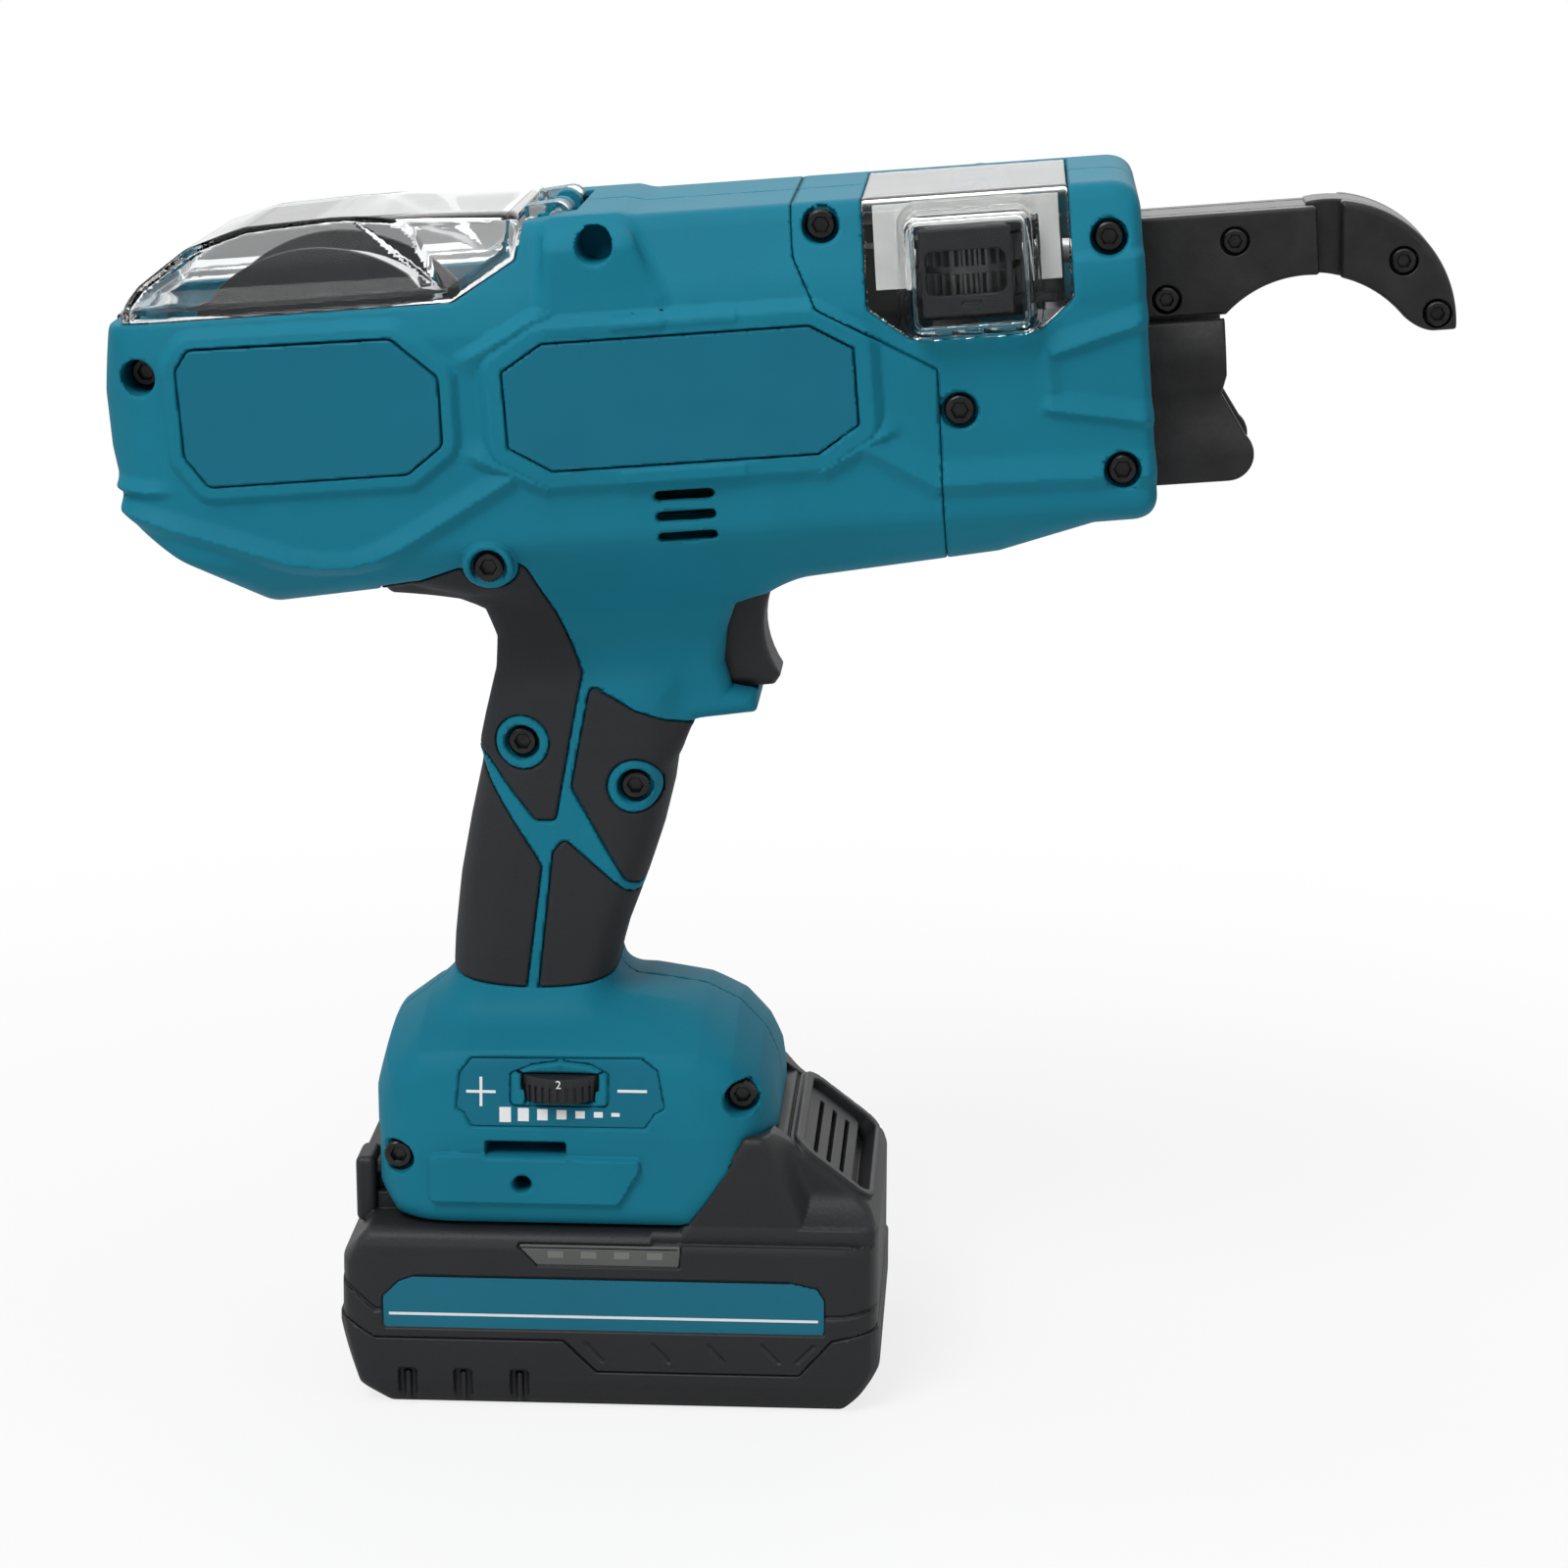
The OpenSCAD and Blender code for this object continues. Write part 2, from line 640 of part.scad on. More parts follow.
module rear_cover() {
    color(CLEAR) in_barrel() difference() {
        union() {
            intersection() {
                difference() {
                    cover_solid(0);
                    cover_solid(cover_wall);
                    intersection() {
                        section_prism(rounded(inset(cover_section, cover_wall)), cover_front - 9,
                            cover_front + 9);
                        block(cover_front - 9, cover_front + 9, -half_w, half_w, 0,
                            cover_top - 1.5 - cover_wall);
                    }
                }
                side_prism(rounded(inset(cover_region, cover_gap)), barrel_w + 20);
            }
            for (s = [-1, 1]) {
                side_pin(s, hinge_at.x, hinge_at.y, knuckle_r, lug_out + slide_gap, knuckle_out);
                side_slab(s, [
                    [cover_front - 6, hinge_at.y], [hinge_at.x, hinge_at.y - knuckle_r], [hinge_at.x,
                        hinge_at.y + knuckle_r],
                    [cover_front - 6, cover_top - 1]
                ], lug_out + slide_gap, knuckle_out);
            }
        }
        pin_y(hinge_at.x, hinge_at.y, hinge_r + run_gap, -knuckle_out - 1, knuckle_out + 1);
    }
}
module cover_hinge_pin() {
    color(STEEL) in_barrel() pin_y(hinge_at.x, hinge_at.y, hinge_r, 0.6 - knuckle_out, knuckle_out - 0.6);
}

// Tube of six sides swept along points
tube_sides = 6;
function tube_frame(pts, i) =
    let (
        a = pts[max(0, i - 1)],
        b = pts[min(len(pts) - 1, i + 1)],
        d = (b - a) / norm(b - a),
        q = cross(d, abs(d.y) < 0.9 ? [0, 1, 0] : [1, 0, 0])
    )
    [q / norm(q), cross(d, q / norm(q))];
module tube(pts, d) {
    n = tube_sides;
    rings = len(pts);
    points = [
        for (i = [0 : rings - 1])
            let (f = tube_frame(pts, i))
            for (k = [0 : n - 1]) pts[i] + d / 2 * (cos(360 * k / n) * f[0] + sin(360 * k / n) * f[1])
    ];
    walls = [
        for (i = [0 : rings - 2], k = [0 : n - 1], t = [0, 1])
            let (a = i * n + k, b = i * n + (k + 1) % n)
            t == 0 ? [a, a + n, b] : [b, a + n, b + n]
    ];
    caps = [
        for (k = [1 : n - 2], t = [0, 1])
            t == 0 ? [0, k, k + 1] : [(rings - 1) * n, (rings - 1) * n + k + 1, (rings - 1) * n + k]
    ];
    polyhedron(points, concat(walls, caps));
}
// Helix about Y with rings per turn, and its least gap from one turn to the next
function helix(r, y0, y1, turns, rings) = [
    for (i = [0 : turns * rings])
        let (a = 360 * i / rings)
        [r * cos(a), y0 + (y1 - y0) * i / (turns * rings), r * sin(a)]
];
function turn_gap(pts, rings, d) = min([for (i = [0 : len(pts) - rings - 1])
    norm(pts[i + rings] - pts[i])]) - d;

loop_rings = 24;
wind_r = wound_r - wire_d / 2;
core_r = wind_r * cos(180 / loop_rings) - wire_d / 2 - clear;
wind_half = spool_w / 2 - flange_t - 1;
wound_path = helix(wind_r, -wind_half, wind_half, wire_turns, loop_rings);
wire_path = concat(
    [wound_path[0] - [0, 0, wire_d]], wound_path, [wound_path[len(wound_path) - 1] + [0, 0, wire_d]]
);
echo(wire_coil_gap = turn_gap(wound_path, loop_rings, wire_d));

hub_r = spool_bore + 5;
module wire_spool() {
    color(BLACK) in_barrel() translate([spool_at.x, 0, spool_at.y]) difference() {
        union() {
            pin_y(0, 0, hub_r, -spool_w / 2, spool_w / 2);
            for (s = [-1, 1]) side_pin(s, 0, 0, spool_r, spool_w / 2 - flange_t, spool_w / 2);
        }
        pin_y(0, 0, spool_bore + run_gap, -spool_w, spool_w);
    }
}
module wire_coil() {
    color(STEEL) in_barrel() translate([spool_at.x, 0, spool_at.y]) {
        difference() {
            pin_y(0, 0, core_r, flange_t - spool_w / 2 + clear, spool_w / 2 - flange_t - clear);
            pin_y(0, 0, hub_r + clear, -spool_w, spool_w);
        }
        tube(wire_path, wire_d);
    }
}
module spool_axle() {
    color(STEEL) in_barrel() {
        side_pin(-1, spool_at.x, spool_at.y, spool_bore + 4, axle_out, axle_out + 6);
        side_pin(-1, spool_at.x, spool_at.y, spool_bore, 5, axle_out + 11);
    }
}
knob_y = half_w + 0.9;
knob_h = 6;
module spool_lock() {
    color(BLACK) in_barrel() {
        pin_y(spool_at.x, spool_at.y, knob_r, knob_y, knob_y + knob_h);
        pin_y(spool_at.x, spool_at.y, spool_bore, 5, knob_y + 1);
    }
}

// Cover latch at the tail
latch_pin_r = 1;
module cover_latch() {
    color(BLACK) in_barrel() difference() {
        side_prism(rounded([
            [1.2 - tail_x, latch_low, 1], [3.8 - tail_x, latch_low, 1], [latch_pin.x + 2, latch_pin.y - 2, 1],
            [latch_pin.x + 2, latch_pin.y + 2, 1], [latch_pin.x, latch_pin.y + 6, 1], [latch_pin.x,
                cover_z - 0.6, 0.6],
            [2 - tail_x, cover_z - 0.6, 0.6], [0.8 - tail_x, latch_pin.y, 6]
        ]), 2 * latch_half);
        pin_y(latch_pin.x, latch_pin.y, latch_pin_r + run_gap, -reach, reach);
    }
}
module latch_axle() {
    pin_y(latch_pin.x, latch_pin.y, latch_pin_r, -latch_half - 1.4, latch_half + 1.4);
}

// Twist drive, in the barrel frame
tooth_add = 0.75;
tooth_ded = 1.15;
tooth_fill = 0.4;
flank = tan(20);
// Outline of a spur gear; fill is the tooth's share of the pitch
function gear(n, m, add, ded, fill) = [
    for (i = [0 : n - 1])
        let (
            r = m * n / 2,
            step = 360 / n,
            turn = 180 / PI,
            tip = (fill * PI * m / 2 - add * m * flank) / (r + add * m) * turn,
            root = (fill * PI * m / 2 + ded * m * flank) / (r - ded * m) * turn
        )
        each [
            for (c = [[r - ded * m, -root], [r + add * m, -tip], [r + add * m, tip], [r - ded * m, root]])
                [c[0] * cos(i * step + c[1]), c[0] * sin(i * step + c[1])]
        ]
];
module gear_x(n, m, x0, x1, phase) {
    translate([x0, 0, 0]) rotate([90, 0, 90]) rotate([0, 0, phase])
        linear_extrude(x1 - x0) polygon(gear(n, m, tooth_add, tooth_ded, tooth_fill));
}
ring_n = sun_n + 2 * planet_n;
orbit_r = stage_m * (sun_n + planet_n) / 2;
stage_x = motor_x + motor_l + 3;
stage_l = 8;
ring_r = stage_m * ring_n / 2 + 2.6;
carrier_x = stage_x + stage_l + 0.6;
carrier_t = 5;
case_end = carrier_x + carrier_t + 4;
motor_shaft_r = 1.6;
module on_twist_axis() {
    in_barrel() translate([0, 0, twist_z]) children();
}
module twist_motor() {
    color(STEEL) on_twist_axis() difference() {
        union() {
            pin_x(0, 0, motor_d / 2, motor_x, motor_x + motor_l);
            pin_x(0, 0, 6, motor_x - 1, motor_x + motor_l + 2);
        }
        pin_x(0, 0, motor_shaft_r + run_gap, motor_x + 6, reach);
    }
}
module motor_pinion() {
    color(BRASS) on_twist_axis() {
        gear_x(sun_n, stage_m, stage_x, stage_x + stage_l, 0);
        pin_x(0, 0, motor_shaft_r, motor_x + 8, stage_x + 1);
    }
}
planet_pin_r = 1.5;
// An odd planet has a tooth facing the ring, so the ring has a space there
ring_turn = planet_n % 2 == 1 ? 0 : 180 / ring_n;
// A planet at angle a meshes with the pinion when its own tooth gap faces the axis
function planet_phase(a) = a + 180 + 180 / planet_n + a * sun_n / planet_n;
module planet(i) {
    a = 120 * i;
    color(STEEL) on_twist_axis() rotate([a, 0, 0]) translate([0, orbit_r, 0]) rotate([-a, 0, 0])
        difference() {
        gear_x(planet_n, stage_m, stage_x, stage_x + stage_l, planet_phase(a));
        pin_x(0, 0, planet_pin_r + run_gap, stage_x - 1, stage_x + stage_l + 1);
    }
}
module ring_gear() {
    color(DARK) on_twist_axis() difference() {
        union() {
            pin_x(0, 0, ring_r, motor_x + motor_l, case_end);
            pin_x(0, 0, motor_d / 2, motor_x + motor_l, motor_x + motor_l + 2.4);
        }
        pin_x(0, 0, 6 + clear, motor_x + motor_l - 1, motor_x + motor_l + 2.4);
        translate([motor_x + motor_l + 2.4, 0, 0]) rotate([90, 0, 90]) rotate([0, 0, ring_turn])
            linear_extrude(stage_l + 1.2) polygon(gear(ring_n, stage_m, tooth_ded, tooth_add,
                1 - tooth_fill));
        pin_x(0, 0, ring_r - 1.6, carrier_x - 0.6, case_end - 3);
        pin_x(0, 0, shaft_r + 0.6, case_end - 4, case_end + 1);
    }
}
bearing_x = 74;
bearing_w = 8;
bearing_r = 13;
fork_x = nose_x - 8.4;
fork_end = fork_x + 8.4;
fork_r = 8.2;
jaw_t = 5;
jaw_pin = [fork_x + 4.9, 4];
jaw_pin_r = 1.2;
module twist_shaft() {
    color(STEEL) on_twist_axis() difference() {
        union() {
            pin_x(0, 0, orbit_r + 3, carrier_x, carrier_x + carrier_t);
            for (i = [0 : 2]) rotate([120 * i, 0, 0]) pin_x(orbit_r, 0, planet_pin_r, stage_x, carrier_x + 1);
            pin_x(0, 0, shaft_r, carrier_x, fork_x + 1);
            pin_x(0, 0, fork_r, fork_x, fork_end);
        }
        block(fork_x + 1, fork_end + 1, -jaw_t / 2 - 0.3, jaw_t / 2 + 0.3, -reach, reach);
        for (s = [-1, 1]) pin_y(jaw_pin.x, s * jaw_pin.y, jaw_pin_r + clear, -reach, reach);
    }
}
module jaw_pins() {
    color(STEEL) on_twist_axis() for (s = [-1, 1]) pin_y(jaw_pin.x, s * jaw_pin.y, jaw_pin_r, -6.4, 6.4);
}
jaw_outline = [
    [fork_x + 2, 1.2, 0], [fork_x + 8.4, 1.2, 2], [fork_x + 14.4, 3.6, 2], [fork_x + 18.8, 3.2, 0.5],
    [fork_x + 21.4, 4.4, 0.5], [fork_x + 20.4, 8.2, 2], [fork_x + 12.4, 7.8, 4], [fork_x + 2, 6.6, 1]
];
module hook_jaw(s) {
    color(DARK) on_twist_axis() difference() {
        side_prism(s > 0 ? rounded(jaw_outline) : [for (p = rounded(jaw_outline)) [p.x, -p.y]], jaw_t);
        pin_y(jaw_pin.x, s * jaw_pin.y, jaw_pin_r + run_gap, -reach, reach);
    }
}
sleeve_x = [85, 103];
sleeve_flange = [90, 92.5];
flange_over = 2;
module jaw_sleeve() {
    color(DARK) on_twist_axis() difference() {
        union() {
            pin_x(0, 0, sleeve_r, sleeve_x[0], sleeve_x[1]);
            pin_x(0, 0, sleeve_r + flange_over, sleeve_flange[0], sleeve_flange[1]);
        }
        pin_x(0, 0, shaft_r + run_gap, 0, reach);
    }
}
module shaft_bearing() {
    color(STEEL) on_twist_axis() difference() {
        pin_x(0, 0, bearing_r, bearing_x, bearing_x + bearing_w);
        pin_x(0, 0, shaft_r + run_gap, 0, reach);
    }
}
frame_half = 26;
block_top = 50.5;
module bearing_block() {
    color(STEEL) in_barrel() difference() {
        block(bearing_x - 1, bearing_x + bearing_w, -frame_half, frame_half, 13.5, block_top);
        pin_x(0, twist_z, bearing_r + clear, bearing_x, reach);
        pin_x(0, twist_z, shaft_r + 1, 0, reach);
        for (s = [-1, 1]) side_pin(s, frame_screws[2].x, frame_screws[2].y, screw_r + clear,
            frame_half - 6, reach);
    }
}

// Head frame, arm, guide and cutter
frame_x = [nose_x - 14, nose_x - 5];
mouth_half = 15.6;
mouth_low = nose_low + 2.6;
arm_low = twist_z + 17.3;
cutter_pin = [97.5, 58];
cutter_pin_r = 1.5;
cutter_t = 6;
ear_out = cutter_t / 2 + 3.6;
module head_frame() {
    color(STEEL) in_barrel() difference() {
        union() {
            block(frame_x[0], frame_x[1], -frame_half, frame_half, mouth_low + 1, arm_top + 3);
            for (s = [-1, 1]) {
                side_slab(s, rounded([
                    [frame_x[0] + 1, cutter_pin.y - 4, 0], [frame_x[0] + 1, cutter_pin.y + 4, 0],
                    [cutter_pin.x - 2.4, cutter_pin.y + 3, 2], [cutter_pin.x - 2.4, cutter_pin.y - 3, 2]
                ]), cutter_t / 2 + 0.4, ear_out);
            }
            lever_stand();
        }
        block(0, reach, -arm_w / 2 - clear, arm_w / 2 + clear, arm_low - clear, arm_top + clear);
        pin_x(0, twist_z, sleeve_r + 0.6, 0, reach);
        pin_y(cutter_pin.x, cutter_pin.y, cutter_pin_r + clear, -reach, reach);
        for (s = [-1, 1]) {
            side_pin(s, frame_screws[0].x, frame_screws[0].y, screw_r + clear, frame_half - 8, reach);
            side_pin(s, frame_screws[1].x, frame_screws[1].y, screw_r + clear, frame_half - 8, reach);
        }
        pin_x(wire_y, feed_z, wire_hole_r, 0, reach);
    }
}
module cutter_axle() {
    pin_y(cutter_pin.x, cutter_pin.y, cutter_pin_r, -ear_out, ear_out);
}
module lever_axles() {
    color(STEEL) in_barrel() {
        latch_axle();
        cutter_axle();
    }
}
cutter_top = feed_z - 3;
module cutter_lever() {
    color(DARK) in_barrel() difference() {
        side_prism(rounded([
            [cutter_pin.x - 4.2, twist_z + sleeve_r + 0.7, 0], [cutter_pin.x - 0.6,
                twist_z + sleeve_r + 0.7, 1],
            [cutter_pin.x + 2.4, cutter_pin.y - 3, 2], [cutter_pin.x + 2.4, cutter_pin.y + 3, 1],
                [cutter_pin.x + 1, cutter_top, 0],
            [cutter_pin.x - 2, cutter_top, 0], [cutter_pin.x - 2.4, cutter_pin.y - 4, 2]
        ]), cutter_t);
        pin_y(cutter_pin.x, cutter_pin.y, cutter_pin_r + run_gap, -reach, reach);
    }
}
tip_c = [loop_x + 4.7, twist_z + 13.5];
tip_r = 26;
tip_low = twist_z + 10.8;
arm_root = frame_x[0];
loop_steps = 12;
function loop_arc(from, to) = arc(loop_x, twist_z, loop_r, from, to, loop_steps);
function tip_arc(from, to) = arc(tip_c.x, tip_c.y, tip_r, from, to, loop_steps);
root_angle = 180 - asin((arm_low - twist_z) / loop_r);
tip_angle = asin((tip_low - twist_z) / loop_r);
tip_start = asin((tip_low - tip_c.y) / tip_r);
cheek_end = 154;
tip_front = 158.8;
core_outline = concat(
    [[arm_root, arm_low]], loop_arc(root_angle, tip_angle), tip_arc(tip_start, 90), [[cheek_end,
        arm_top], [arm_root, arm_top]]
);
cheek_outline = concat(
    [[arm_root, arm_low]], loop_arc(root_angle, acos((cheek_end - loop_x) / loop_r)), [[cheek_end,
        arm_top], [arm_root, arm_top]]
);
tip_outline = concat(
    loop_arc(acos((tip_front - loop_x) / loop_r), tip_angle), tip_arc(tip_start,
        acos((tip_front - tip_c.x) / tip_r))
);
cheek_screws = [[136.8, 63], [122, 51.8]];
tip_screws = [[171.5, 56.5], [178, 45]];
arm_screws_at = concat(cheek_screws, tip_screws);
core_half = arm_w / 2 - cheek_t;
screw_head_h = 2;
arm_head_h = screw_head_h + 0.2;
module arm_bores() {
    for (s = arm_screws_at) {
        pin_y(s.x, s.y, screw_r + clear, -reach, reach);
        pin_y(s.x, s.y, head_r + clear, -arm_w, -arm_w / 2 + arm_head_h);
    }
}
groove_w = 2.4;
groove_d = 2;
module arm_core() {
    color(BLACK) in_barrel() difference() {
        slab(core_outline, -core_half, core_half);
        pin_y(loop_x, twist_z, loop_r + groove_d, -groove_w / 2, groove_w / 2);
        arm_bores();
    }
}
module arm_cheek(side) {
    color(BLACK) in_barrel() difference() {
        side_slab(side, cheek_outline, core_half, arm_w / 2);
        arm_bores();
    }
}
module tip_cheek(side) {
    color(BLACK) in_barrel() difference() {
        side_slab(side, tip_outline, core_half, arm_w / 2);
        arm_bores();
    }
}
// Socket head screw along Y with its head at the right hand face
module side_screw(side, x, z, face, length) {
    difference() {
        union() {
            side_pin(side, x, z, head_r, face - screw_head_h, face);
            side_pin(side, x, z, screw_r, face - length, face - 1);
        }
        side_pin(side, x, z, head_r * 0.45, face - 1.4, face + 1, $fn = 6);
    }
}
module arm_screws() {
    color(DARK) in_barrel() for (s = arm_screws_at) side_screw(-1, s.x, s.y, arm_w / 2, arm_w - 1);
}
guide_x = nose_x + 16;
guide_side = [
    [frame_x[1] + 0.2, 13.4, 0], [guide_x + 5, 13.4, 5.4], [guide_x + 5, 24, 5], [guide_x - 1.2, 31.6, 3],
    [guide_x - 0.2, 38, 3], [guide_x - 0.2, arm_low - 0.6, 1], [frame_x[1] + 0.2, arm_low - 0.6, 0]
];
guide_cheek = [[14.6, 13, 0], [13.3, 22, 0], [11.6, 31.6, 0], [13.6, 37, 0], [13.6, 42.6, 0], [11, 49, 0]];
guide_flange = frame_x[1] + 2.4;
module lower_guide() {
    color(BLACK) in_barrel() {
        intersection() {
            union() {
                for (s = [-1, 1]) section_prism(concat(
                    [for (p = guide_cheek) [s * p.x, p.y]],
                    [for (i = [len(guide_cheek) - 1 : -1 : 0]) [s * (guide_cheek[i].x - guide_t),
                        guide_cheek[i].y]]
                ), frame_x[1] + 0.2, guide_x + 9);
                block(frame_x[1] + 0.2, guide_flange + 3, -13, 13, 13.4, 13.4 + guide_t);
            }
            side_prism(rounded(guide_side), 60);
        }
        difference() {
            block(frame_x[1], guide_flange, -15, 15, 13.4, arm_low - 1);
            pin_x(0, twist_z, sleeve_r + 0.6, 0, reach);
        }
    }
}

// Wire feed
feed_r = feed_m * feed_n / 2;
feed_y = 2 * feed_r + 0.1;
wire_y = -feed_y / 2;
groove_h = 1.6;
feed_low = feed_z - feed_h / 2;
gear_pin_r = 3;
module feed_gear(y, phase) {
    difference() {
        for (part = [[feed_low, feed_z - groove_h / 2, 0], [feed_z + groove_h / 2, feed_low + feed_h, 0]])
            translate([feed_x, y, part[0]]) rotate([0, 0, phase]) linear_extrude(part[1] - part[0])
                polygon(gear(feed_n, feed_m, tooth_add, tooth_ded, tooth_fill));
        pin_z(feed_x, y, gear_pin_r + run_gap, 0, reach);
    }
    difference() {
        pin_z(feed_x, y, feed_r - tooth_ded * feed_m - 0.2, feed_low, feed_low + feed_h);
        pin_z(feed_x, y, gear_pin_r + run_gap, 0, reach);
    }
}
module feed_drive_gear() {
    color(DARK) in_barrel() feed_gear(0, 90);
}
module feed_idler_gear() {
    color(DARK) in_barrel() feed_gear(-feed_y, 90 + 180 / feed_n);
}
gearbox_top = block_top + 6;
worm_case = [44, 66];
feed_motor_at = [14.5, 65];
feed_motor_r = 10.5;
feed_motor_rear = clamp_screws[0].x + collar_r + 0.6;
stand_x = [56, 66];
module feed_gearbox() {
    color(DARK) in_barrel() {
        block(52, feed_x + 10, -7, 27, block_top, gearbox_top);
        difference() {
            block(stand_x[0], stand_x[1], wire_y - 4, -6, block_top, feed_z + 3.4);
            pin_x(wire_y, feed_z, nozzle_r + clear, 0, reach);
        }
        block(worm_case[0], worm_case[1], 2, 26, gearbox_top - 1, feed_z + 6.4);
        pin_z(feed_x, 0, gear_pin_r, gearbox_top - 1, feed_low + feed_h);
        pin_z(feed_x, 0, gear_pin_r + 2, gearbox_top - 1, feed_low - 0.4);
    }
}
module feed_motor() {
    color(STEEL) in_barrel() pin_x(feed_motor_at[0], feed_motor_at[1], feed_motor_r, feed_motor_rear,
        worm_case[0]);
}
lever_pin = [feed_x + 16, -feed_y];
lever_pin_r = 1.6;
lever_t = 1.8;
lever_low = feed_low - 0.6;
lever_high = feed_low + feed_h + 0.6;
module lever_plate(z0) {
    plan_prism(rounded([
        [feed_x - 8, -feed_y - 5, 3], [lever_pin.x + 3, -feed_y - 4, 3], [lever_pin.x + 3, -feed_y + 4, 3],
        [feed_x + 6, -feed_y + 8, 3], [feed_x - 8, -feed_y + 7, 3]
    ]), z0, z0 + lever_t);
}
module idler_lever() {
    color(BLACK) in_barrel() difference() {
        union() {
            lever_plate(lever_low - lever_t);
            lever_plate(lever_high);
            pin_z(feed_x, -feed_y, gear_pin_r, lever_low - 1, lever_high + 1);
            pin_z(lever_pin.x, lever_pin.y, lever_pin_r + 1.4, lever_low - 1, lever_high + 1);
        }
        pin_z(lever_pin.x, lever_pin.y, lever_pin_r + run_gap, 0, reach);
    }
}
lever_foot = 54;
module lever_stand() {
    block(lever_pin.x - 5, frame_x[0] + 1, lever_pin.y - 4, lever_pin.y + 4, lever_foot - 2, lever_foot);
    pin_z(lever_pin.x, lever_pin.y, lever_pin_r + 1.6, lever_foot - 1, lever_low - lever_t - 0.3);
    pin_z(lever_pin.x, lever_pin.y, lever_pin_r, lever_foot - 1, lever_high + lever_t);
}
bracket_low = 61;
module feed_bracket() {
    color(STEEL) in_barrel() {
        difference() {
            intersection() {
                difference() {
                    barrel_solid(wall + 0.1);
                    barrel_solid(wall + 1.3);
                }
                slab(rounded(inset(window_outline, 2)), -half_w, -top_w / 2 + 8);
            }
            block(0, reach, -reach, 0, 0, bracket_low);
            block(bubble_x[0] + 1, bubble_x[1] + 0.6, -reach, 0, 0, lever_high + lever_t + 1);
        }
    }
}
clutch_at = [feed_x + 2, lever_high + 1.9];
clutch_rod_r = 2;
clutch_cap_r = 6;
clutch_guide_y = 33;
clutch_travel = 2.5;
module clutch_button() {
    color(BLACK) in_barrel() {
        pin_y(clutch_at.x, clutch_at.y, clutch_cap_r - 0.6, clutch_guide_y + clutch_travel + 0.4,
            clutch_guide_y + clutch_travel + 4.4);
        pin_y(clutch_at.x, clutch_at.y, clutch_rod_r, -feed_y + 8.4, clutch_guide_y + clutch_travel + 1);
    }
}
nozzle_r = 2.2;
wire_hole_r = wire_d / 2 + 0.4;
module wire_nozzles() {
    color(STEEL) in_barrel() for (x = [[worm_case[0] + 6, feed_x - 11.6], [feed_x + 11.6, frame_x[0]]])
        difference() {
        pin_x(wire_y, feed_z, nozzle_r, x[0], x[1]);
        pin_x(wire_y, feed_z, wire_hole_r, 0, reach);
    }
}

// Feed window: a clear plate that wraps over the top, with a box over the idler gear
window_x = [60.6, 102.6];
window_outline = [
    [window_x[0] + 7.4, 50.6, 2], [window_x[1] - 6.6, 50.6, 2], [window_x[1], 56, 3], [window_x[1],
        barrel_h + 9, 0],
    [window_x[0], barrel_h + 9, 0], [window_x[0], 56.5, 3]
];
window_wrap = 22;
bubble_x = [69, 95];
bubble_z = [51.8, 76.5];
bubble_wall = 1.8;
module window_hole() {
    slab(rounded(inset(window_outline, -0.2)), -half_w - 9, window_wrap);
}
module bubble(t) {
    intersection() {
        side_prism(rounded(inset(rect(bubble_x[0], bubble_x[1], bubble_z[0], bubble_z[1], 3.6), t)),
            2 * bubble_y);
        plan_prism(rounded(inset(rect(bubble_x[0], bubble_x[1], -bubble_y, bubble_y, 3), t)), 0, reach);
        block(0, reach, -bubble_y, -20, 0, reach);
    }
}
module feed_window() {
    color(CLEAR) in_barrel() difference() {
        union() {
            intersection() {
                difference() {
                    barrel_solid(0);
                    barrel_solid(window_t);
                }
                slab(rounded(window_outline), -half_w - 9, window_wrap - 0.2);
            }
            difference() {
                bubble(0);
                barrel_solid(window_t);
            }
        }
        bubble(bubble_wall);
    }
}

// Trigger, switch and dial
trigger_back = 15;
trigger_travel = 6;
trigger_outline = [
    [19, -4, 2], [trigger_back, -8, 2], [trigger_back, -20, 2], [19, -25, 2], [33.5, -26, 2], [35, -23.5,
        2], [32.3, -17, 8],
    [32.1, -12, 8], [35, -3.8, 1.5]
];
module trigger() {
    color(BLACK) in_barrel() side_prism(rounded(trigger_outline), trigger_w);
}
switch_x = [-14, 6];
switch_half = neck_w / 2 - wall - 0.4;
module trigger_switch() {
    color(BLACK) in_barrel() {
        block(switch_x[0], switch_x[1], -switch_half, switch_half, -26, -8);
        pin_x(0, -19, 2, switch_x[1] - 1, trigger_back - trigger_travel - 0.4);
    }
}
spring_d = 5;
spring_wire = 0.7;
spring_curls = 6;
curl_rings = 8;
module coil_spring(length) {
    tube(helix((spring_d - spring_wire) / 2, 0, length, spring_curls, curl_rings), spring_wire);
}
module trigger_spring() {
    color(STEEL) in_barrel() translate([switch_x[1] + 0.5, 0, -12.5]) rotate([0, 0, -90])
        coil_spring(trigger_back - switch_x[1] - 1);
}
module torque_dial() {
    color(BLACK) difference() {
        pin_z(dial_at.x, -dial_at.y, dial_r, dial_z, dial_z + dial_h);
        for (i = [0 : 35]) translate([dial_at.x, -dial_at.y, 0]) rotate([0, 0, 10 * i])
            block(dial_r - 0.4, dial_r + 1, -0.35, 0.35, dial_z - 1, dial_z + 3.6);
        pin_z(dial_at.x, -dial_at.y, pot_r + run_gap, dial_z - 1, dial_z + dial_h - 1);
    }
}
pot_r = 2.5;
pot_body_r = 4.4;
board_z = base_floor;
board_t = 1.6;
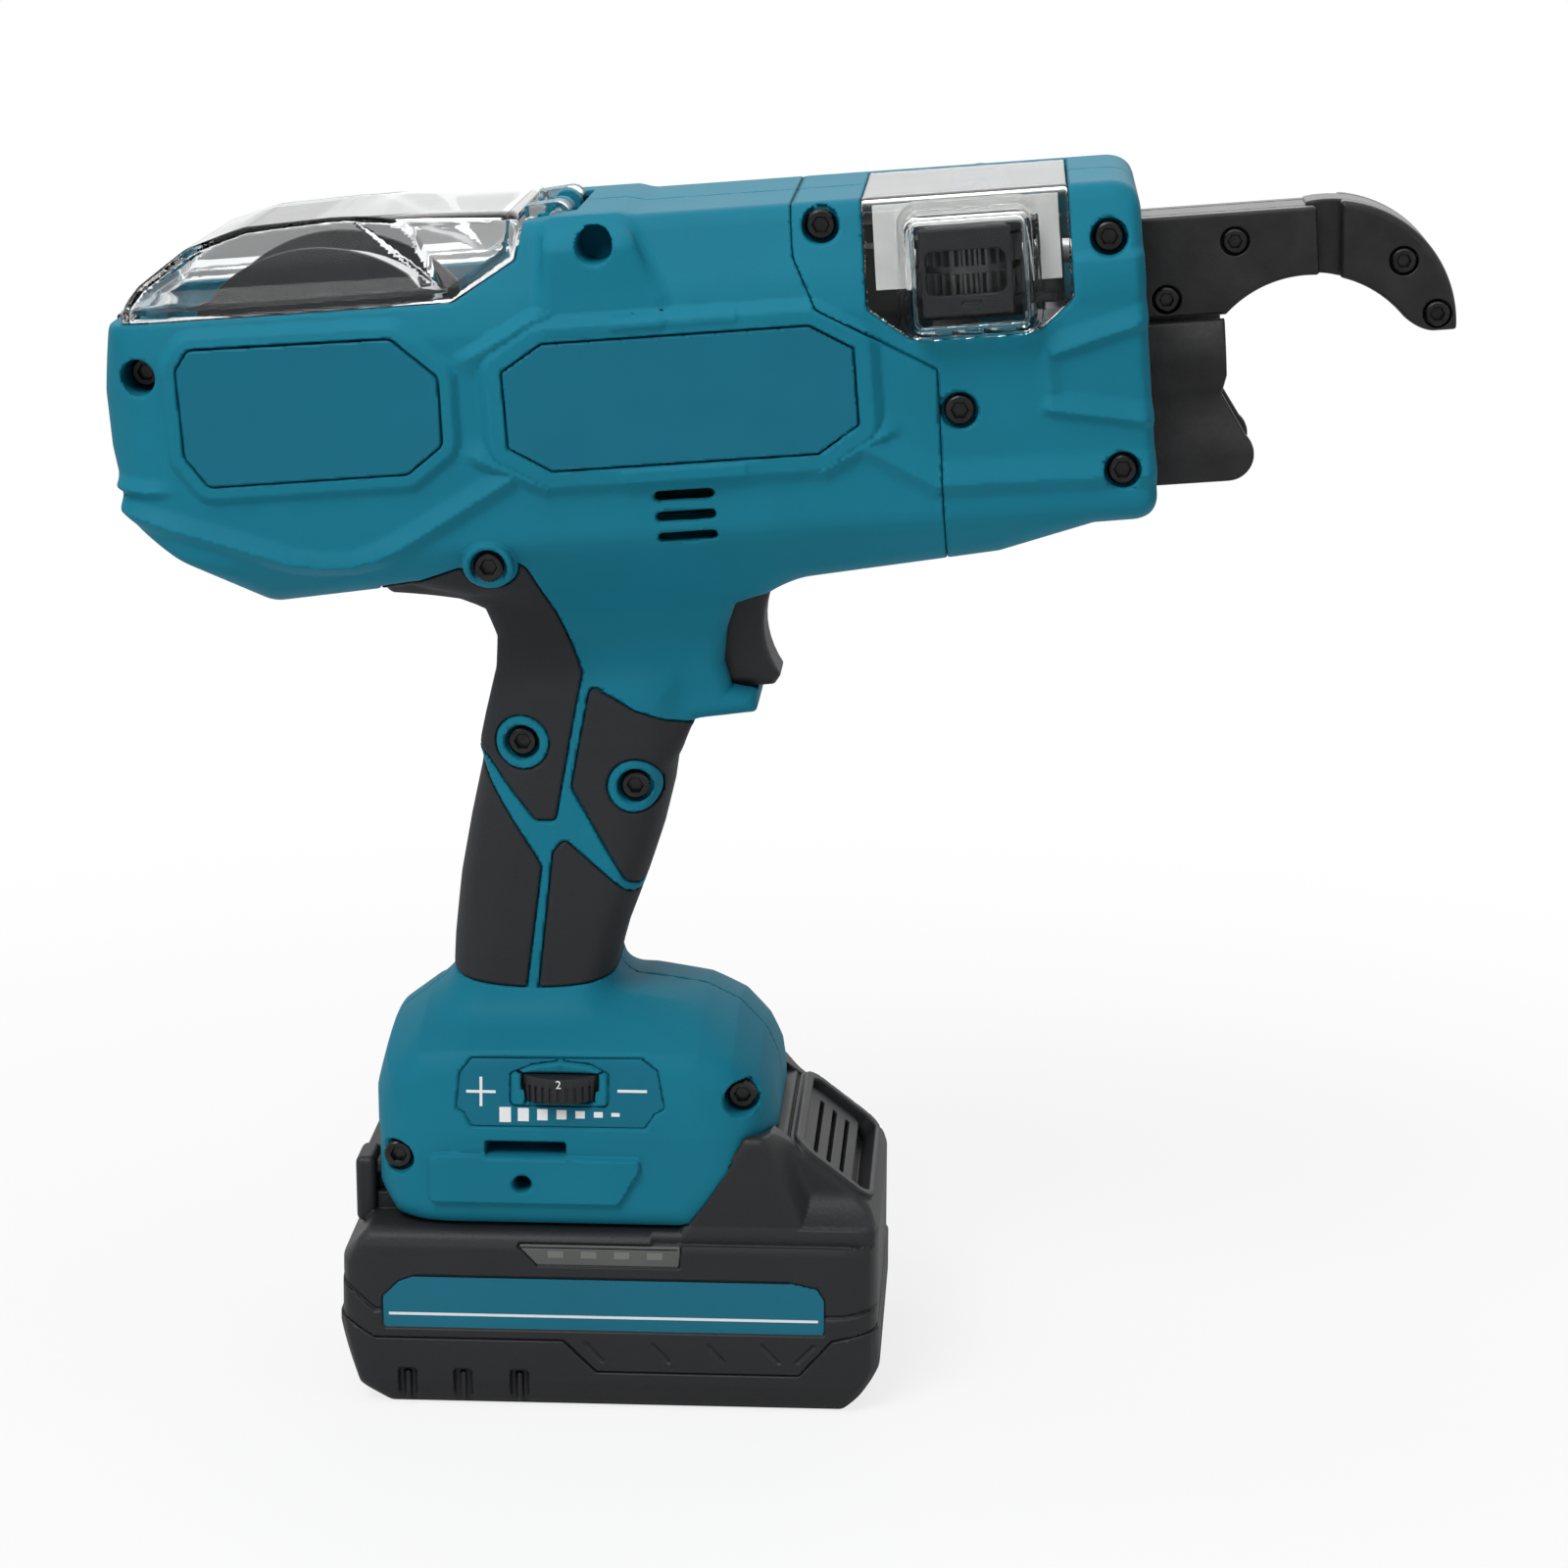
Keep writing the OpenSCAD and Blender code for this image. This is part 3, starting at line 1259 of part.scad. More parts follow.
module torque_pot() {
    color(STEEL) {
        pin_z(dial_at.x, -dial_at.y, pot_body_r, board_z + board_t, dial_z - 1);
        pin_z(dial_at.x, -dial_at.y, pot_r, dial_z - 2, dial_z + dial_h - 1.2);
    }
}
module control_board() {
    color("#1f5a34") block(-40, 24, -dial_at.y - 1, 24, board_z, board_z + board_t);
}
module label_plate(side, pts, face) {
    color(PLATE) side_slab(side, pts, face, face + label_t);
}
module centre_label(side) {
    in_barrel() label_plate(side, [for (p = inset(centre_plate, 0.1)) xy(p)], half_w + frame_rise - label_t);
}
module rear_label(side) {
    in_barrel() difference() {
        label_plate(side, rounded(inset(rear_plate, 0.1)), half_w + 0.6 - label_t);
        pin_y(spool_at.x, spool_at.y, spool_bore + 1, 0, reach);
    }
}
module torque_label() {
    color(PLATE) difference() {
        intersection() {
            slab(rounded(inset(dial_panel, 0.1)), -base_w, 0);
            base_solid(0);
        }
        base_solid(label_t);
        slab(rounded(inset(bezel, -0.1)), -base_w, 0);
        pin_z(dial_at.x, -dial_at.y, dial_r + slide_gap, dial_z - slide_gap, dial_z + dial_h + slide_gap);
    }
}

// Rubber pads on the grip, one list of outlines for both sides
pad_outlines = [
    [[-60, 176], [-14, 176], [-5.4, 161], [-8.3, 145.5], [-11.5, 128], [-16, 129], [-27.5, 143.5], [-60,
        175]],
    [[-3.5, 158], [6, 153], [30, 146], [30, 120], [5, 113.5], [3.5, 115], [-7.8, 136]],
    [[-60, 150], [-29, 141], [-15.5, 120], [-14.6, 118], [-17.6, 92], [-60, 92]],
    [[-12.2, 121], [-9, 123.6], [5, 112], [30, 104], [30, 94], [-15.6, 92]]
];
pad_foot = 95;
module grip_pads_solid() {
    difference() {
        intersection() {
            grip_solid(0);
            union() {
                for (p = pad_outlines) slab([for (i = [len(p) - 1 : -1 : 0]) p[i]], -grip_w, grip_w);
            }
        }
        grip_solid(rubber_t);
        neck_solid(-clear);
        for (s = grip_screws_at) pin_y(s.x, s.y, well_r + 2, -reach, reach);
        block(-reach, reach, -reach, reach, 0, pad_foot);
    }
}
module grip_pads(side) {
    color(RUBBER) half_of(side) grip_pads_solid();
}

// Screws
module clamp_screw(s, face) {
    top = face - s.z + screw_head_h;
    side_screw(-1, s.x, s.y, top, top + thread_l - 1);
}
module barrel_screws() {
    color(DARK) in_barrel() for (s = concat(clamp_screws, head_clamp_screws)) clamp_screw(s, barrel_face(s));
}
module head_screws() {
    color(DARK) in_barrel() for (s = frame_screws, side = [-1, 1]) {
        top = barrel_face(s) - s.z + screw_head_h;
        side_screw(side, s.x, s.y, top, top - frame_half + 5);
    }
}
module grip_screws() {
    color(DARK) for (s = grip_screws_at) clamp_screw(s, grip_w / 2);
}
module base_screws() {
    color(DARK) for (s = base_screws_at) {
        if (s.y > base_floor) clamp_screw(s, base_face);
        else side_screw(-1, s.x, s.y, base_face - s.z + screw_head_h,
            base_screw_l - s.z + screw_head_h - 0.5);
    }
}

// Battery
bumper_z = 58.5;
battery_side = [
    [11.5 - cell_rear, 0, 3], [cell_front - 8.3, 0, 3], [cell_front - 0.2, 9.5, 3],
    [cell_front, bumper_z - 18, 3], [cell_front - 2.8, bumper_z - 13, 2],
    [base_front + 2.4, bumper_z, 2], [base_front + slide_gap, bumper_z, 0],
    [base_front + slide_gap, 54.4, 0], [base_front - 10.6, 49, 0],
    [19.2, deck_z, 0], [7 - cell_rear, deck_z, 2], [0.6 - cell_rear, 33, 3], [-cell_rear, 18, 2],
        [5 - cell_rear, 5, 3]
];
battery_section = both_sides([
    [cell_w / 2 - 3.5, -0.5, 3], [cell_w / 2, 6, 4], [cell_w / 2, deck_z - 3.6, 2], [cell_w / 2 - 3,
        deck_z + 1.4, 0], [cell_w / 2 - 5.5, 66, 4]
]);
battery_plan = rect(-cell_rear - 0.5, cell_front + 0.5, -cell_w / 2 - 0.5, cell_w / 2 + 0.5, 10);
module battery_solid(t) {
    intersection() {
        side_prism(rounded(inset(battery_side, t)), cell_w + 20);
        section_prism(rounded(inset(battery_section, t)), -cell_rear - 9, cell_front + 9);
        plan_prism(rounded(inset(battery_plan, t)), -9, 80);
    }
}
cell_roof = deck_z - cell_wall;
block_half = channel_w / 2 - slide_gap;
block_rear = -base_rear - 2.6;
block_high = channel_z - slide_gap;
trench_half = 14;
trench_low = 50;
trench_front = -8;
blade_ys = [-10, -5, 0, 5, 10];
button_c = [base_front + 10.8, bumper_z - 6.5];
button_lean = atan2(13, cell_front - 2.8 - base_front - 2.4);
button_l = 16;
button_half = 23;
button_t = 4;
button_travel = 3;
module at_button() {
    translate([button_c.x, 0, button_c.y]) rotate([0, button_lean, 0]) children();
}
hollow_side = [
    [11.5 - cell_rear, 0, 3], [cell_front - 8.3, 0, 3], [cell_front - 0.2, 9.5, 3], [cell_front, deck_z, 0],
    [7 - cell_rear, deck_z, 0], [0.6 - cell_rear, 33, 3], [-cell_rear, 18, 2], [5 - cell_rear, 5, 3]
];
hollow_section = both_sides([[cell_w / 2 - 3.5, -0.5, 3], [cell_w / 2, 6, 4], [cell_w / 2, deck_z + 1, 0]]);
module battery_cavity() {
    intersection() {
        side_prism(rounded(inset(hollow_side, cell_wall)), cell_w + 20);
        section_prism(rounded(inset(hollow_section, cell_wall)), -cell_rear - 9, cell_front + 9);
        plan_prism(rounded(inset(battery_plan, cell_wall)), -9, 80);
    }
}
led_outline = [[-15, 32.8, 0.6], [15.4, 32.8, 0.6], [16.5, deck_z - 3.6, 0], [-19.8, deck_z - 3.6, 0]];
band_outline = [[-48.8, 18, 0], [47, 18, 0], [47, 25, 0], [39, 29.4, 0], [-42.5, 29.4, 0], [-48.8, 23.4, 0]];
band_t = 0.6;
groove_in = channel_w / 2 - rail_in - slide_gap;
module battery_top() {
    color(BLACK) difference() {
        union() {
            intersection() {
                battery_solid(0);
                block(-reach, reach, -reach, reach, split_z, reach);
            }
            block(block_rear, base_front + 1, -block_half, block_half, cell_roof, block_high);
        }
        battery_cavity();
        for (s = [-1, 1]) block(-reach, base_front - 3 + slide_gap, s > 0 ? groove_in : -channel_w / 2,
            s > 0 ? channel_w / 2 : -groove_in, rail_z[0] - slide_gap, rail_z[1] + slide_gap);
        block(-reach, trench_front, -trench_half, trench_half, trench_low, reach);
        for (y = blade_ys) block(trench_front - 1, 8, y - 0.8, y + 0.8, trench_low + 1.2, block_high - 1);
        at_button() block(-button_l / 2 - slide_gap, button_l / 2 + button_travel + slide_gap,
            -button_half - slide_gap,
            button_half + slide_gap, -button_t - slide_gap, 9);
        slab(rounded(led_outline), -reach, -cell_w / 2 + 1.2);
        slab([for (p = band_outline) xy(p)], -reach, -cell_w / 2 + band_t);
    }
}
module battery_bottom() {
    color(BLACK) difference() {
        intersection() {
            battery_solid(0);
            block(-reach, reach, -reach, reach, -9, split_z);
        }
        battery_cavity();
    }
}
module battery_button() {
    color(BLACK) at_button() {
        block(-button_l / 2, button_l / 2, -button_half, button_half, -button_t, -1.4);
        for (i = [-1 : 1]) block(4.4 * i - 0.8, 4.4 * i + 0.8, -button_half + 2, button_half - 2, -2, -0.4);
    }
}
module battery_led() {
    color("#6f7478") slab(rounded(inset(led_outline, 0.1)), -cell_w / 2 + 0.1, -cell_w / 2 + 1.2);
}
module battery_band() {
    color(PLATE) slab([for (p = inset(band_outline, 0.1)) xy(p)], -cell_w / 2, -cell_w / 2 + band_t);
}
cell_low = cell_wall + 0.3;
module battery_cells() {
    color("#3f6fb0") for (i = [-2 : 2]) pin_y((cell_d + 0.4) * i, cell_low + cell_d / 2, cell_d / 2,
        -cell_l / 2, cell_l / 2);
}
module battery_board() {
    color("#1f5a34") block(-44, 44, -28, 28, cell_roof - board_t - 0.3, cell_roof - 0.3);
    color(BRASS) for (y = blade_ys) block(5, 8, y - 0.75, y + 0.75, trench_low + 1.25, block_high - 1);
}
module tool_terminals() {
    color(BLACK) block(-30, trench_front - 2, -trench_half + slide_gap, trench_half - slide_gap,
        trench_low + slide_gap + 0.4, channel_z);
    color(BRASS) for (y = blade_ys) block(trench_front - 3, 4.4, y - 0.4, y + 0.4, trench_low + 1.8,
        block_high - 1.6);
}

module label_plates() {
    for (side = [-1, 1]) {
        centre_label(side);
        rear_label(side);
    }
    torque_label();
}
module housing_screws() {
    barrel_screws();
    head_screws();
    grip_screws();
    base_screws();
}
module battery_trim() {
    battery_led();
    battery_band();
}

main_housing(-1);  // main_housing_right
main_housing(1);  // main_housing_left
head_housing(-1);  // head_housing_right
head_housing(1);  // head_housing_left
rear_cover();
cover_hinge_pin();
cover_latch();
lever_axles();
wire_spool();
wire_coil();
spool_axle();
spool_lock();
twist_motor();
motor_pinion();
planet(0);  // planet_gear_1
planet(1);  // planet_gear_2
planet(2);  // planet_gear_3
ring_gear();
twist_shaft();
jaw_pins();
hook_jaw(1);  // hook_jaw_upper
hook_jaw(-1);  // hook_jaw_lower
jaw_sleeve();
shaft_bearing();
bearing_block();
head_frame();
cutter_lever();
arm_core();
arm_cheek(-1);  // arm_cheek_right
arm_cheek(1);  // arm_cheek_left
tip_cheek(-1);  // tip_cheek_right
tip_cheek(1);  // tip_cheek_left
arm_screws();
lower_guide();
feed_drive_gear();
feed_idler_gear();
feed_gearbox();
feed_motor();
idler_lever();
feed_bracket();
clutch_button();
wire_nozzles();
feed_window();
trigger();
trigger_switch();
trigger_spring();
torque_dial();
torque_pot();
control_board();
label_plates();
grip_pads(-1);  // grip_pads_right
grip_pads(1);  // grip_pads_left
housing_screws();
tool_terminals();
battery_top();
battery_bottom();
battery_button();
battery_trim();
battery_cells();
battery_board();
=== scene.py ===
# Rebar tying tool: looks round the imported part, from distance fields in millimetres, meshed here
import math

import bpy
import numpy as np
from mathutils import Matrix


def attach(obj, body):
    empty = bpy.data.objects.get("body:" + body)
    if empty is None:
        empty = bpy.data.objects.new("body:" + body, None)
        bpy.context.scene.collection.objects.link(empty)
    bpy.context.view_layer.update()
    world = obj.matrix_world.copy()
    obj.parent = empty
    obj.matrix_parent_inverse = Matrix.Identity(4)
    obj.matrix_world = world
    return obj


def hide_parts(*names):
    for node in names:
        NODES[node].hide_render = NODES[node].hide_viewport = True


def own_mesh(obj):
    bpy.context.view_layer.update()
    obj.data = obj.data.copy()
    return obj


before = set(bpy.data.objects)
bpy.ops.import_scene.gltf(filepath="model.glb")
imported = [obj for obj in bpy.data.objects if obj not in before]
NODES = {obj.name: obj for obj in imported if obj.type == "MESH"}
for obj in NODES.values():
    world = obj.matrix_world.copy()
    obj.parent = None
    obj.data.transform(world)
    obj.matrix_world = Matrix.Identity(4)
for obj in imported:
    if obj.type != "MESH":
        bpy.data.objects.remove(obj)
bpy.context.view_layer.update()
MM = 0.001
F32 = np.float32

# Sizes shared with the part's source, in millimetres
PITCH = math.radians(4.4)
COS = math.cos(PITCH)
SIN = math.sin(PITCH)
LIFT = 180.0
HALF_W = 38.0
WALL = 2.6
TWIST_Z = 30.5
SPOOL_AT = (-55.8, 43.0)
SPOOL_BORE_R = 8.05
HINGE = (-3.4, 79.0)
PIN_R = 1.3
CLUTCH_AT = (84.0, 72.5)
SIDES = ((-1, "right"), (1, "left"))

# Gaps: at the seam of the two halves from its plane, and between the main and the head housing
SEAM = 0.01
PART_GAP = 0.06

# Meshing: the step for slopes
PROBE = 0.06


# Distance field helpers
def soft(t):
    t = np.clip(t, 0, 1)
    return t * t * (3 - 2 * t)


def inset(pts, r):
    out = []
    n = len(pts)
    for i in range(n):
        p = np.array(pts[i], float)
        u = p - np.array(pts[i - 1], float)
        w = np.array(pts[(i + 1) % n], float) - p
        u /= np.linalg.norm(u)
        w /= np.linalg.norm(w)
        nu = np.array([-u[1], u[0]])
        nw = np.array([-w[1], w[0]])
        out.append(tuple(p + r * (nu + nw) / (1 + nu @ nw)))
    return out


def poly(x, z, pts, r=0.0):
    """Distance to an anticlockwise outline, negative inside. r rounds its outward corners."""
    if r:
        pts = inset(pts, r)
    best = np.full(x.shape, 1e9, F32)
    inside = np.zeros(x.shape, bool)
    for i in range(len(pts)):
        ax, az = pts[i - 1]
        bx, bz = pts[i]
        ex, ez = bx - ax, bz - az
        wx, wz = x - ax, z - az
        t = np.clip((wx * ex + wz * ez) / (ex * ex + ez * ez), 0, 1)
        dx = wx - ex * t
        dz = wz - ez * t
        np.minimum(best, dx * dx + dz * dz, out=best)
        if abs(ez) > 1e-9:
            inside ^= ((z < az) != (z < bz)) & (wx < wz * (ex / ez))
    best = np.sqrt(best)
    return np.where(inside, -best, best) - F32(r)


def line(x, z, pts):
    """Distance to an open line, how far along it is nearest (0 to 1), and if the place is above it."""
    best = np.full(x.shape, 1e9, F32)
    along = np.zeros(x.shape, F32)
    above = np.zeros(x.shape, bool)
    steps = len(pts) - 1
    for i in range(steps):
        ax, az = pts[i]
        bx, bz = pts[i + 1]
        ex, ez = bx - ax, bz - az
        wx, wz = x - ax, z - az
        t = np.clip((wx * ex + wz * ez) / (ex * ex + ez * ez), 0, 1)
        d = np.hypot(wx - ex * t, wz - ez * t)
        closer = d < best
        best = np.where(closer, d, best)
        along = np.where(closer, (i + t) / steps, along)
        above = np.where(closer, ex * wz - ez * wx > 0, above)
    return best, along, above


def rmax(a, b, r):
    """Where both hold, with the edge rounded by r."""
    u = np.maximum(a + r, 0)
    v = np.maximum(b + r, 0)
    return np.minimum(np.maximum(a, b), -r) + np.hypot(u, v)


def rmin(a, b, r):
    """Either one, with the inner corner filled by r."""
    u = np.maximum(r - a, 0)
    v = np.maximum(r - b, 0)
    return np.maximum(np.minimum(a, b), r) - np.hypot(u, v)


def less(a, b, r):
    """a with b taken out, the edge rounded by r."""
    return rmax(a, -b, r)


def box(x, y, z, lo, hi, r=0.0):
    q = [np.abs(v - (lo[i] + hi[i]) / 2) - ((hi[i] - lo[i]) / 2 - r) for i, v in enumerate((x, y, z))]
    out = np.sqrt(sum(np.maximum(v, 0) ** 2 for v in q))
    return out + np.minimum(np.maximum(q[0], np.maximum(q[1], q[2])), 0) - r


def add_patch(h, x, z, area, fn):
    """Adds fn to the relief h inside area only, to keep the work small."""
    m = (x > area[0]) & (x < area[1]) & (z > area[2]) & (z < area[3])
    if m.any():
        h[m] = fn(x[m], z[m], h[m])


def to_barrel(p):
    x = p[:, 0]
    z = p[:, 2] - F32(LIFT)
    return x * F32(COS) + z * F32(SIN), p[:, 1], z * F32(COS) - x * F32(SIN)


def both(pts):
    return list(pts) + [(-a, b) for a, b in reversed(pts)]


def rect(x0, x1, y0, y1):
    return [(x1, y0), (x1, y1), (x0, y1), (x0, y0)]


# Meshing: cells near the surface only, one vertex a cell, pulled onto the surface
BLOCK = 8
CHUNK = 360


def surface(f, lo, hi, cell):
    lo = np.array(lo, float)
    blocks = np.ceil((np.array(hi) - lo) / cell / BLOCK).astype(int)
    grid = np.stack(np.meshgrid(*[np.arange(k) for k in blocks], indexing="ij"), -1).reshape(-1, 3)
    middle = (lo + (grid + 0.5) * BLOCK * cell).astype(F32)
    grid = grid[np.abs(f(middle)) < BLOCK * cell * 1.1 + 1.2]
    step = np.stack(np.meshgrid(*[np.arange(BLOCK + 1)] * 3, indexing="ij"), -1).reshape(-1, 3)
    corner = np.array([(i, j, k) for i in (0, 1) for j in (0, 1) for k in (0, 1)])
    pairs = [(a, b) for a in range(8) for b in range(a + 1, 8) if abs(corner[a] - corner[b]).sum() == 1]
    span = blocks * BLOCK + 3
    verts, cells, signs = [], [], []
    for s in range(0, len(grid), CHUNK):
        b = grid[s:s + CHUNK]
        at = b[:, None, :] * BLOCK + step[None]
        d = f((lo + at.reshape(-1, 3) * cell).astype(F32)).reshape((len(b),) + (BLOCK + 1,) * 3)
        neg = d < 0
        count = sum(neg[:, i:i + BLOCK, j:j + BLOCK, k:k + BLOCK].astype(np.int8) for i, j, k in corner)
        w = np.argwhere((count > 0) & (count < 8))
        if not len(w):
            continue
        vals = np.stack([d[w[:, 0], w[:, 1] + i, w[:, 2] + j, w[:, 3] + k] for i, j, k in corner], 1)
        place = np.zeros((len(w), 3))
        hits = np.zeros(len(w))
        for a, c in pairs:
            cross = (vals[:, a] < 0) != (vals[:, c] < 0)
            t = np.where(cross, vals[:, a] / np.where(cross, vals[:, a] - vals[:, c], 1), 0)
            place += cross[:, None] * (corner[a] + t[:, None] * (corner[c] - corner[a]))
            hits += cross
        base = b[w[:, 0]] * BLOCK + w[:, 1:]
        verts.append(lo + (base + place / hits[:, None]) * cell)
        cells.append(base + 1)
        signs.append(vals[:, [0, 4, 2, 1]] < 0)
    verts = np.concatenate(verts)
    cells = np.concatenate(cells)
    signs = np.concatenate(signs)
    key = (cells[:, 0] * span[1] + cells[:, 1]) * span[2] + cells[:, 2]
    order = np.argsort(key)
    key, verts, cells, signs = key[order], verts[order], cells[order], signs[order]
    stride = np.array([span[1] * span[2], span[2], 1])
    quads = []
    for a in range(3):
        u, v = stride[(a + 1) % 3], stride[(a + 2) % 3]
        here = np.nonzero(signs[:, 0] != signs[:, a + 1])[0]
        ring = np.stack([key[here] - u - v, key[here] - v, key[here], key[here] - u], 1)
        found = np.minimum(np.searchsorted(key, ring), len(key) - 1)
        whole = (key[found] == ring).all(1)
        found, flip = found[whole], ~signs[here[whole], 0]
        found[flip] = found[flip][:, ::-1]
        quads.append(found)
    return verts, np.concatenate(quads)


TETRA = np.array([(1, -1, -1), (-1, -1, 1), (-1, 1, -1), (1, 1, 1)], F32)


def gradient(f, v, h):
    value = np.zeros(len(v))
    slope = np.zeros((len(v), 3))
    for k in TETRA:
        d = f((v + k * h).astype(F32)).astype(float)
        value += d / 4
        slope += d[:, None] * k / (4 * h)
    return value, slope


def settle(f, v, cell, rounds):
    for _ in range(rounds):
        d, g = gradient(f, v, PROBE)
        move = d[:, None] * g / np.maximum((g * g).sum(1), 0.2)[:, None]
        size = np.linalg.norm(move, axis=1)
        v = v - move * np.minimum(1, 0.6 * cell / np.maximum(size, 1e-9))[:, None]
    return v


def mesh_from(name, verts, faces):
    me = bpy.data.meshes.new(name)
    n = faces.shape[1]
    me.vertices.add(len(verts))
    me.vertices.foreach_set("co", (verts * MM).astype(F32).ravel())
    me.loops.add(faces.size)
    me.loops.foreach_set("vertex_index", faces.astype(np.int32).ravel())
    me.polygons.add(len(faces))
    me.polygons.foreach_set("loop_start", np.arange(0, faces.size, n, dtype=np.int32))
    me.update(calc_edges=True)
    me.validate()
    return me


def coords(me):
    v = np.zeros(len(me.vertices) * 3, F32)
    me.vertices.foreach_get("co", v)
    return v.reshape(-1, 3).astype(float) / MM


def thin_out(ob, faces):
    """Fewer, larger faces where the surface is flat."""
    now = sum(len(p.vertices) - 2 for p in ob.data.polygons)
    if now <= faces:
        return
    mod = ob.modifiers.new("thin", "DECIMATE")
    mod.ratio = faces / now
    depsgraph = bpy.context.evaluated_depsgraph_get()
    me = bpy.data.meshes.new_from_object(ob.evaluated_get(depsgraph))
    ob.modifiers.clear()
    old = ob.data
    ob.data = me
    bpy.data.meshes.remove(old)


def add_object(name, me):
    ob = bpy.data.objects.new(name, me)
    bpy.context.collection.objects.link(ob)
    return ob


def faceted(name, verts, faces):
    """An object from corners in millimetres and faces of any number of sides."""
    me = bpy.data.meshes.new(name)
    me.from_pydata([tuple(c * MM for c in v) for v in verts], [], faces)
    return add_object(name, me)


def dress(ob, material, body, nodes=()):
    """Gives a piece its material and hangs it on a body, in place of the named solids."""
    ob.data.materials.clear()
    ob.data.materials.append(material)
    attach(ob, body)
    if nodes:
        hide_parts(*nodes)


def piece(name, f, lo, hi, cell, faces, material, body, nodes=()):
    """Meshes the field f between two corners and hangs the piece on a body."""
    verts, quads = surface(f, lo, hi, cell)
    verts = settle(f, verts, cell, 2)
    ob = add_object(name, mesh_from(name, verts, quads))
    thin_out(ob, faces)
    v = settle(f, coords(ob.data), cell * 0.5, 1)
    ob.data.vertices.foreach_set("co", (v * MM).astype(F32).ravel())
    _, g = gradient(f, v, PROBE)
    g /= np.maximum(np.linalg.norm(g, axis=1), 1e-9)[:, None]
    ob.data.polygons.foreach_set("use_smooth", np.ones(len(ob.data.polygons), bool))
    ob.data.normals_split_custom_set_from_vertices(g.tolist())
    dress(ob, material, body, nodes)


# Materials
def set_inputs(node, **values):
    """Sets inputs by name, with an underscore for each space."""
    for key, value in values.items():
        node.inputs[key.replace("_", " ")].default_value = value
    return node


def add_node(tree, kind, **values):
    return set_inputs(tree.nodes.new("ShaderNode" + kind), **values)


def new_material(name):
    m = bpy.data.materials.new(name)
    m.use_nodes = True
    return m, m.node_tree, m.node_tree.nodes["Principled BSDF"]


def bumpy(tree, bsdf, where, strength, distance, **noise):
    """Fine relief from a noise texture."""
    fine = add_node(tree, "TexNoise", **noise)
    tree.links.new(where, fine.inputs["Vector"])
    bump = add_node(tree, "Bump", Strength=strength, Distance=distance)
    tree.links.new(fine.outputs["Fac"], bump.inputs["Height"])
    tree.links.new(bump.outputs["Normal"], bsdf.inputs["Normal"])


def material(name, color, rough, metal=0.0, grain=0.0, grain_scale=900.0, tint=0.0, tint_scale=40.0,
             spec=0.5):
    m, tree, bsdf = new_material(name)
    links = tree.links
    set_inputs(bsdf, Base_Color=(*color, 1), Roughness=rough, Metallic=metal, Specular_IOR_Level=spec)
    where = add_node(tree, "TexCoord").outputs["Object"]
    if tint:
        cloud = add_node(tree, "TexNoise", Scale=tint_scale, Detail=6)
        links.new(where, cloud.inputs["Vector"])
        spread = add_node(tree, "MapRange", From_Min=0.3, From_Max=0.7)
        links.new(cloud.outputs["Fac"], spread.inputs["Value"])
        mix = add_node(tree, "Mix")
        mix.data_type = "RGBA"
        set_inputs(mix, A=(*[c * (1 - tint) for c in color], 1),
                   B=(*[min(1, c * (1 + tint)) for c in color], 1))
        links.new(spread.outputs["Result"], mix.inputs["Factor"])
        links.new(mix.outputs["Result"], bsdf.inputs["Base Color"])
        gloss = add_node(tree, "MapRange", To_Min=rough * 0.9, To_Max=min(1, rough * 1.1))
        links.new(cloud.outputs["Fac"], gloss.inputs["Value"])
        links.new(gloss.outputs["Result"], bsdf.inputs["Roughness"])
    if grain:
        bumpy(tree, bsdf, where, grain, 0.0002, Scale=grain_scale, Detail=3)
    return m


def clear_material(name, color, rough, ior):
    m, tree, bsdf = new_material(name)
    set_inputs(bsdf, Base_Color=(*color, 1), Roughness=rough, IOR=ior, Specular_Tint=(0.4, 0.4, 0.4, 1),
               Transmission_Weight=1)
    bumpy(tree, bsdf, add_node(tree, "TexCoord").outputs["Object"], 0.04, 0.001, Scale=30)
    return m


TEAL = material("teal_plastic", (0.010, 0.183, 0.268), 0.55, grain=0.25, tint=0.05, spec=0.08)
LABEL = material("label_film", (0.009, 0.150, 0.228), 0.42, grain=0.06, tint=0.05, spec=0.12)
BAND = material("band_film", (0.005, 0.145, 0.225), 0.38, grain=0.06, tint=0.05, spec=0.25)
WHITE = material("white_print", (0.85, 0.87, 0.88), 0.45, grain=0.05, tint=0.02)
RUBBER = material("grip_rubber", (0.024, 0.025, 0.028), 0.7, grain=0.5, grain_scale=1400, tint=0.08, spec=0.2)
BLACK = material("black_plastic", (0.014, 0.0145, 0.016), 0.5, grain=0.4, grain_scale=1200, tint=0.08,
                 spec=0.3)
LED_COVER = material("led_window", (0.1, 0.105, 0.1), 0.25, grain=0.08, tint=0.1, spec=0.3)
LED_DOT = material("led_dot", (0.16, 0.165, 0.15), 0.4, grain=0.05, tint=0.1)
OXIDE = material("black_oxide", (0.019, 0.019, 0.020), 0.4, metal=0.5, grain=0.5, grain_scale=500, tint=0.25,
                 tint_scale=120, spec=0.4)
SCREW = material("screw_steel", (0.03, 0.03, 0.03), 0.3, metal=1.0, grain=0.2, tint=0.2, tint_scale=300)
STEEL = material("bright_steel", (0.6, 0.6, 0.6), 0.35, metal=1.0, grain=0.15, tint=0.08, tint_scale=200)
SATIN = material("satin_steel", (0.34, 0.34, 0.33), 0.5, metal=0.6, grain=0.3, tint=0.1, tint_scale=150)
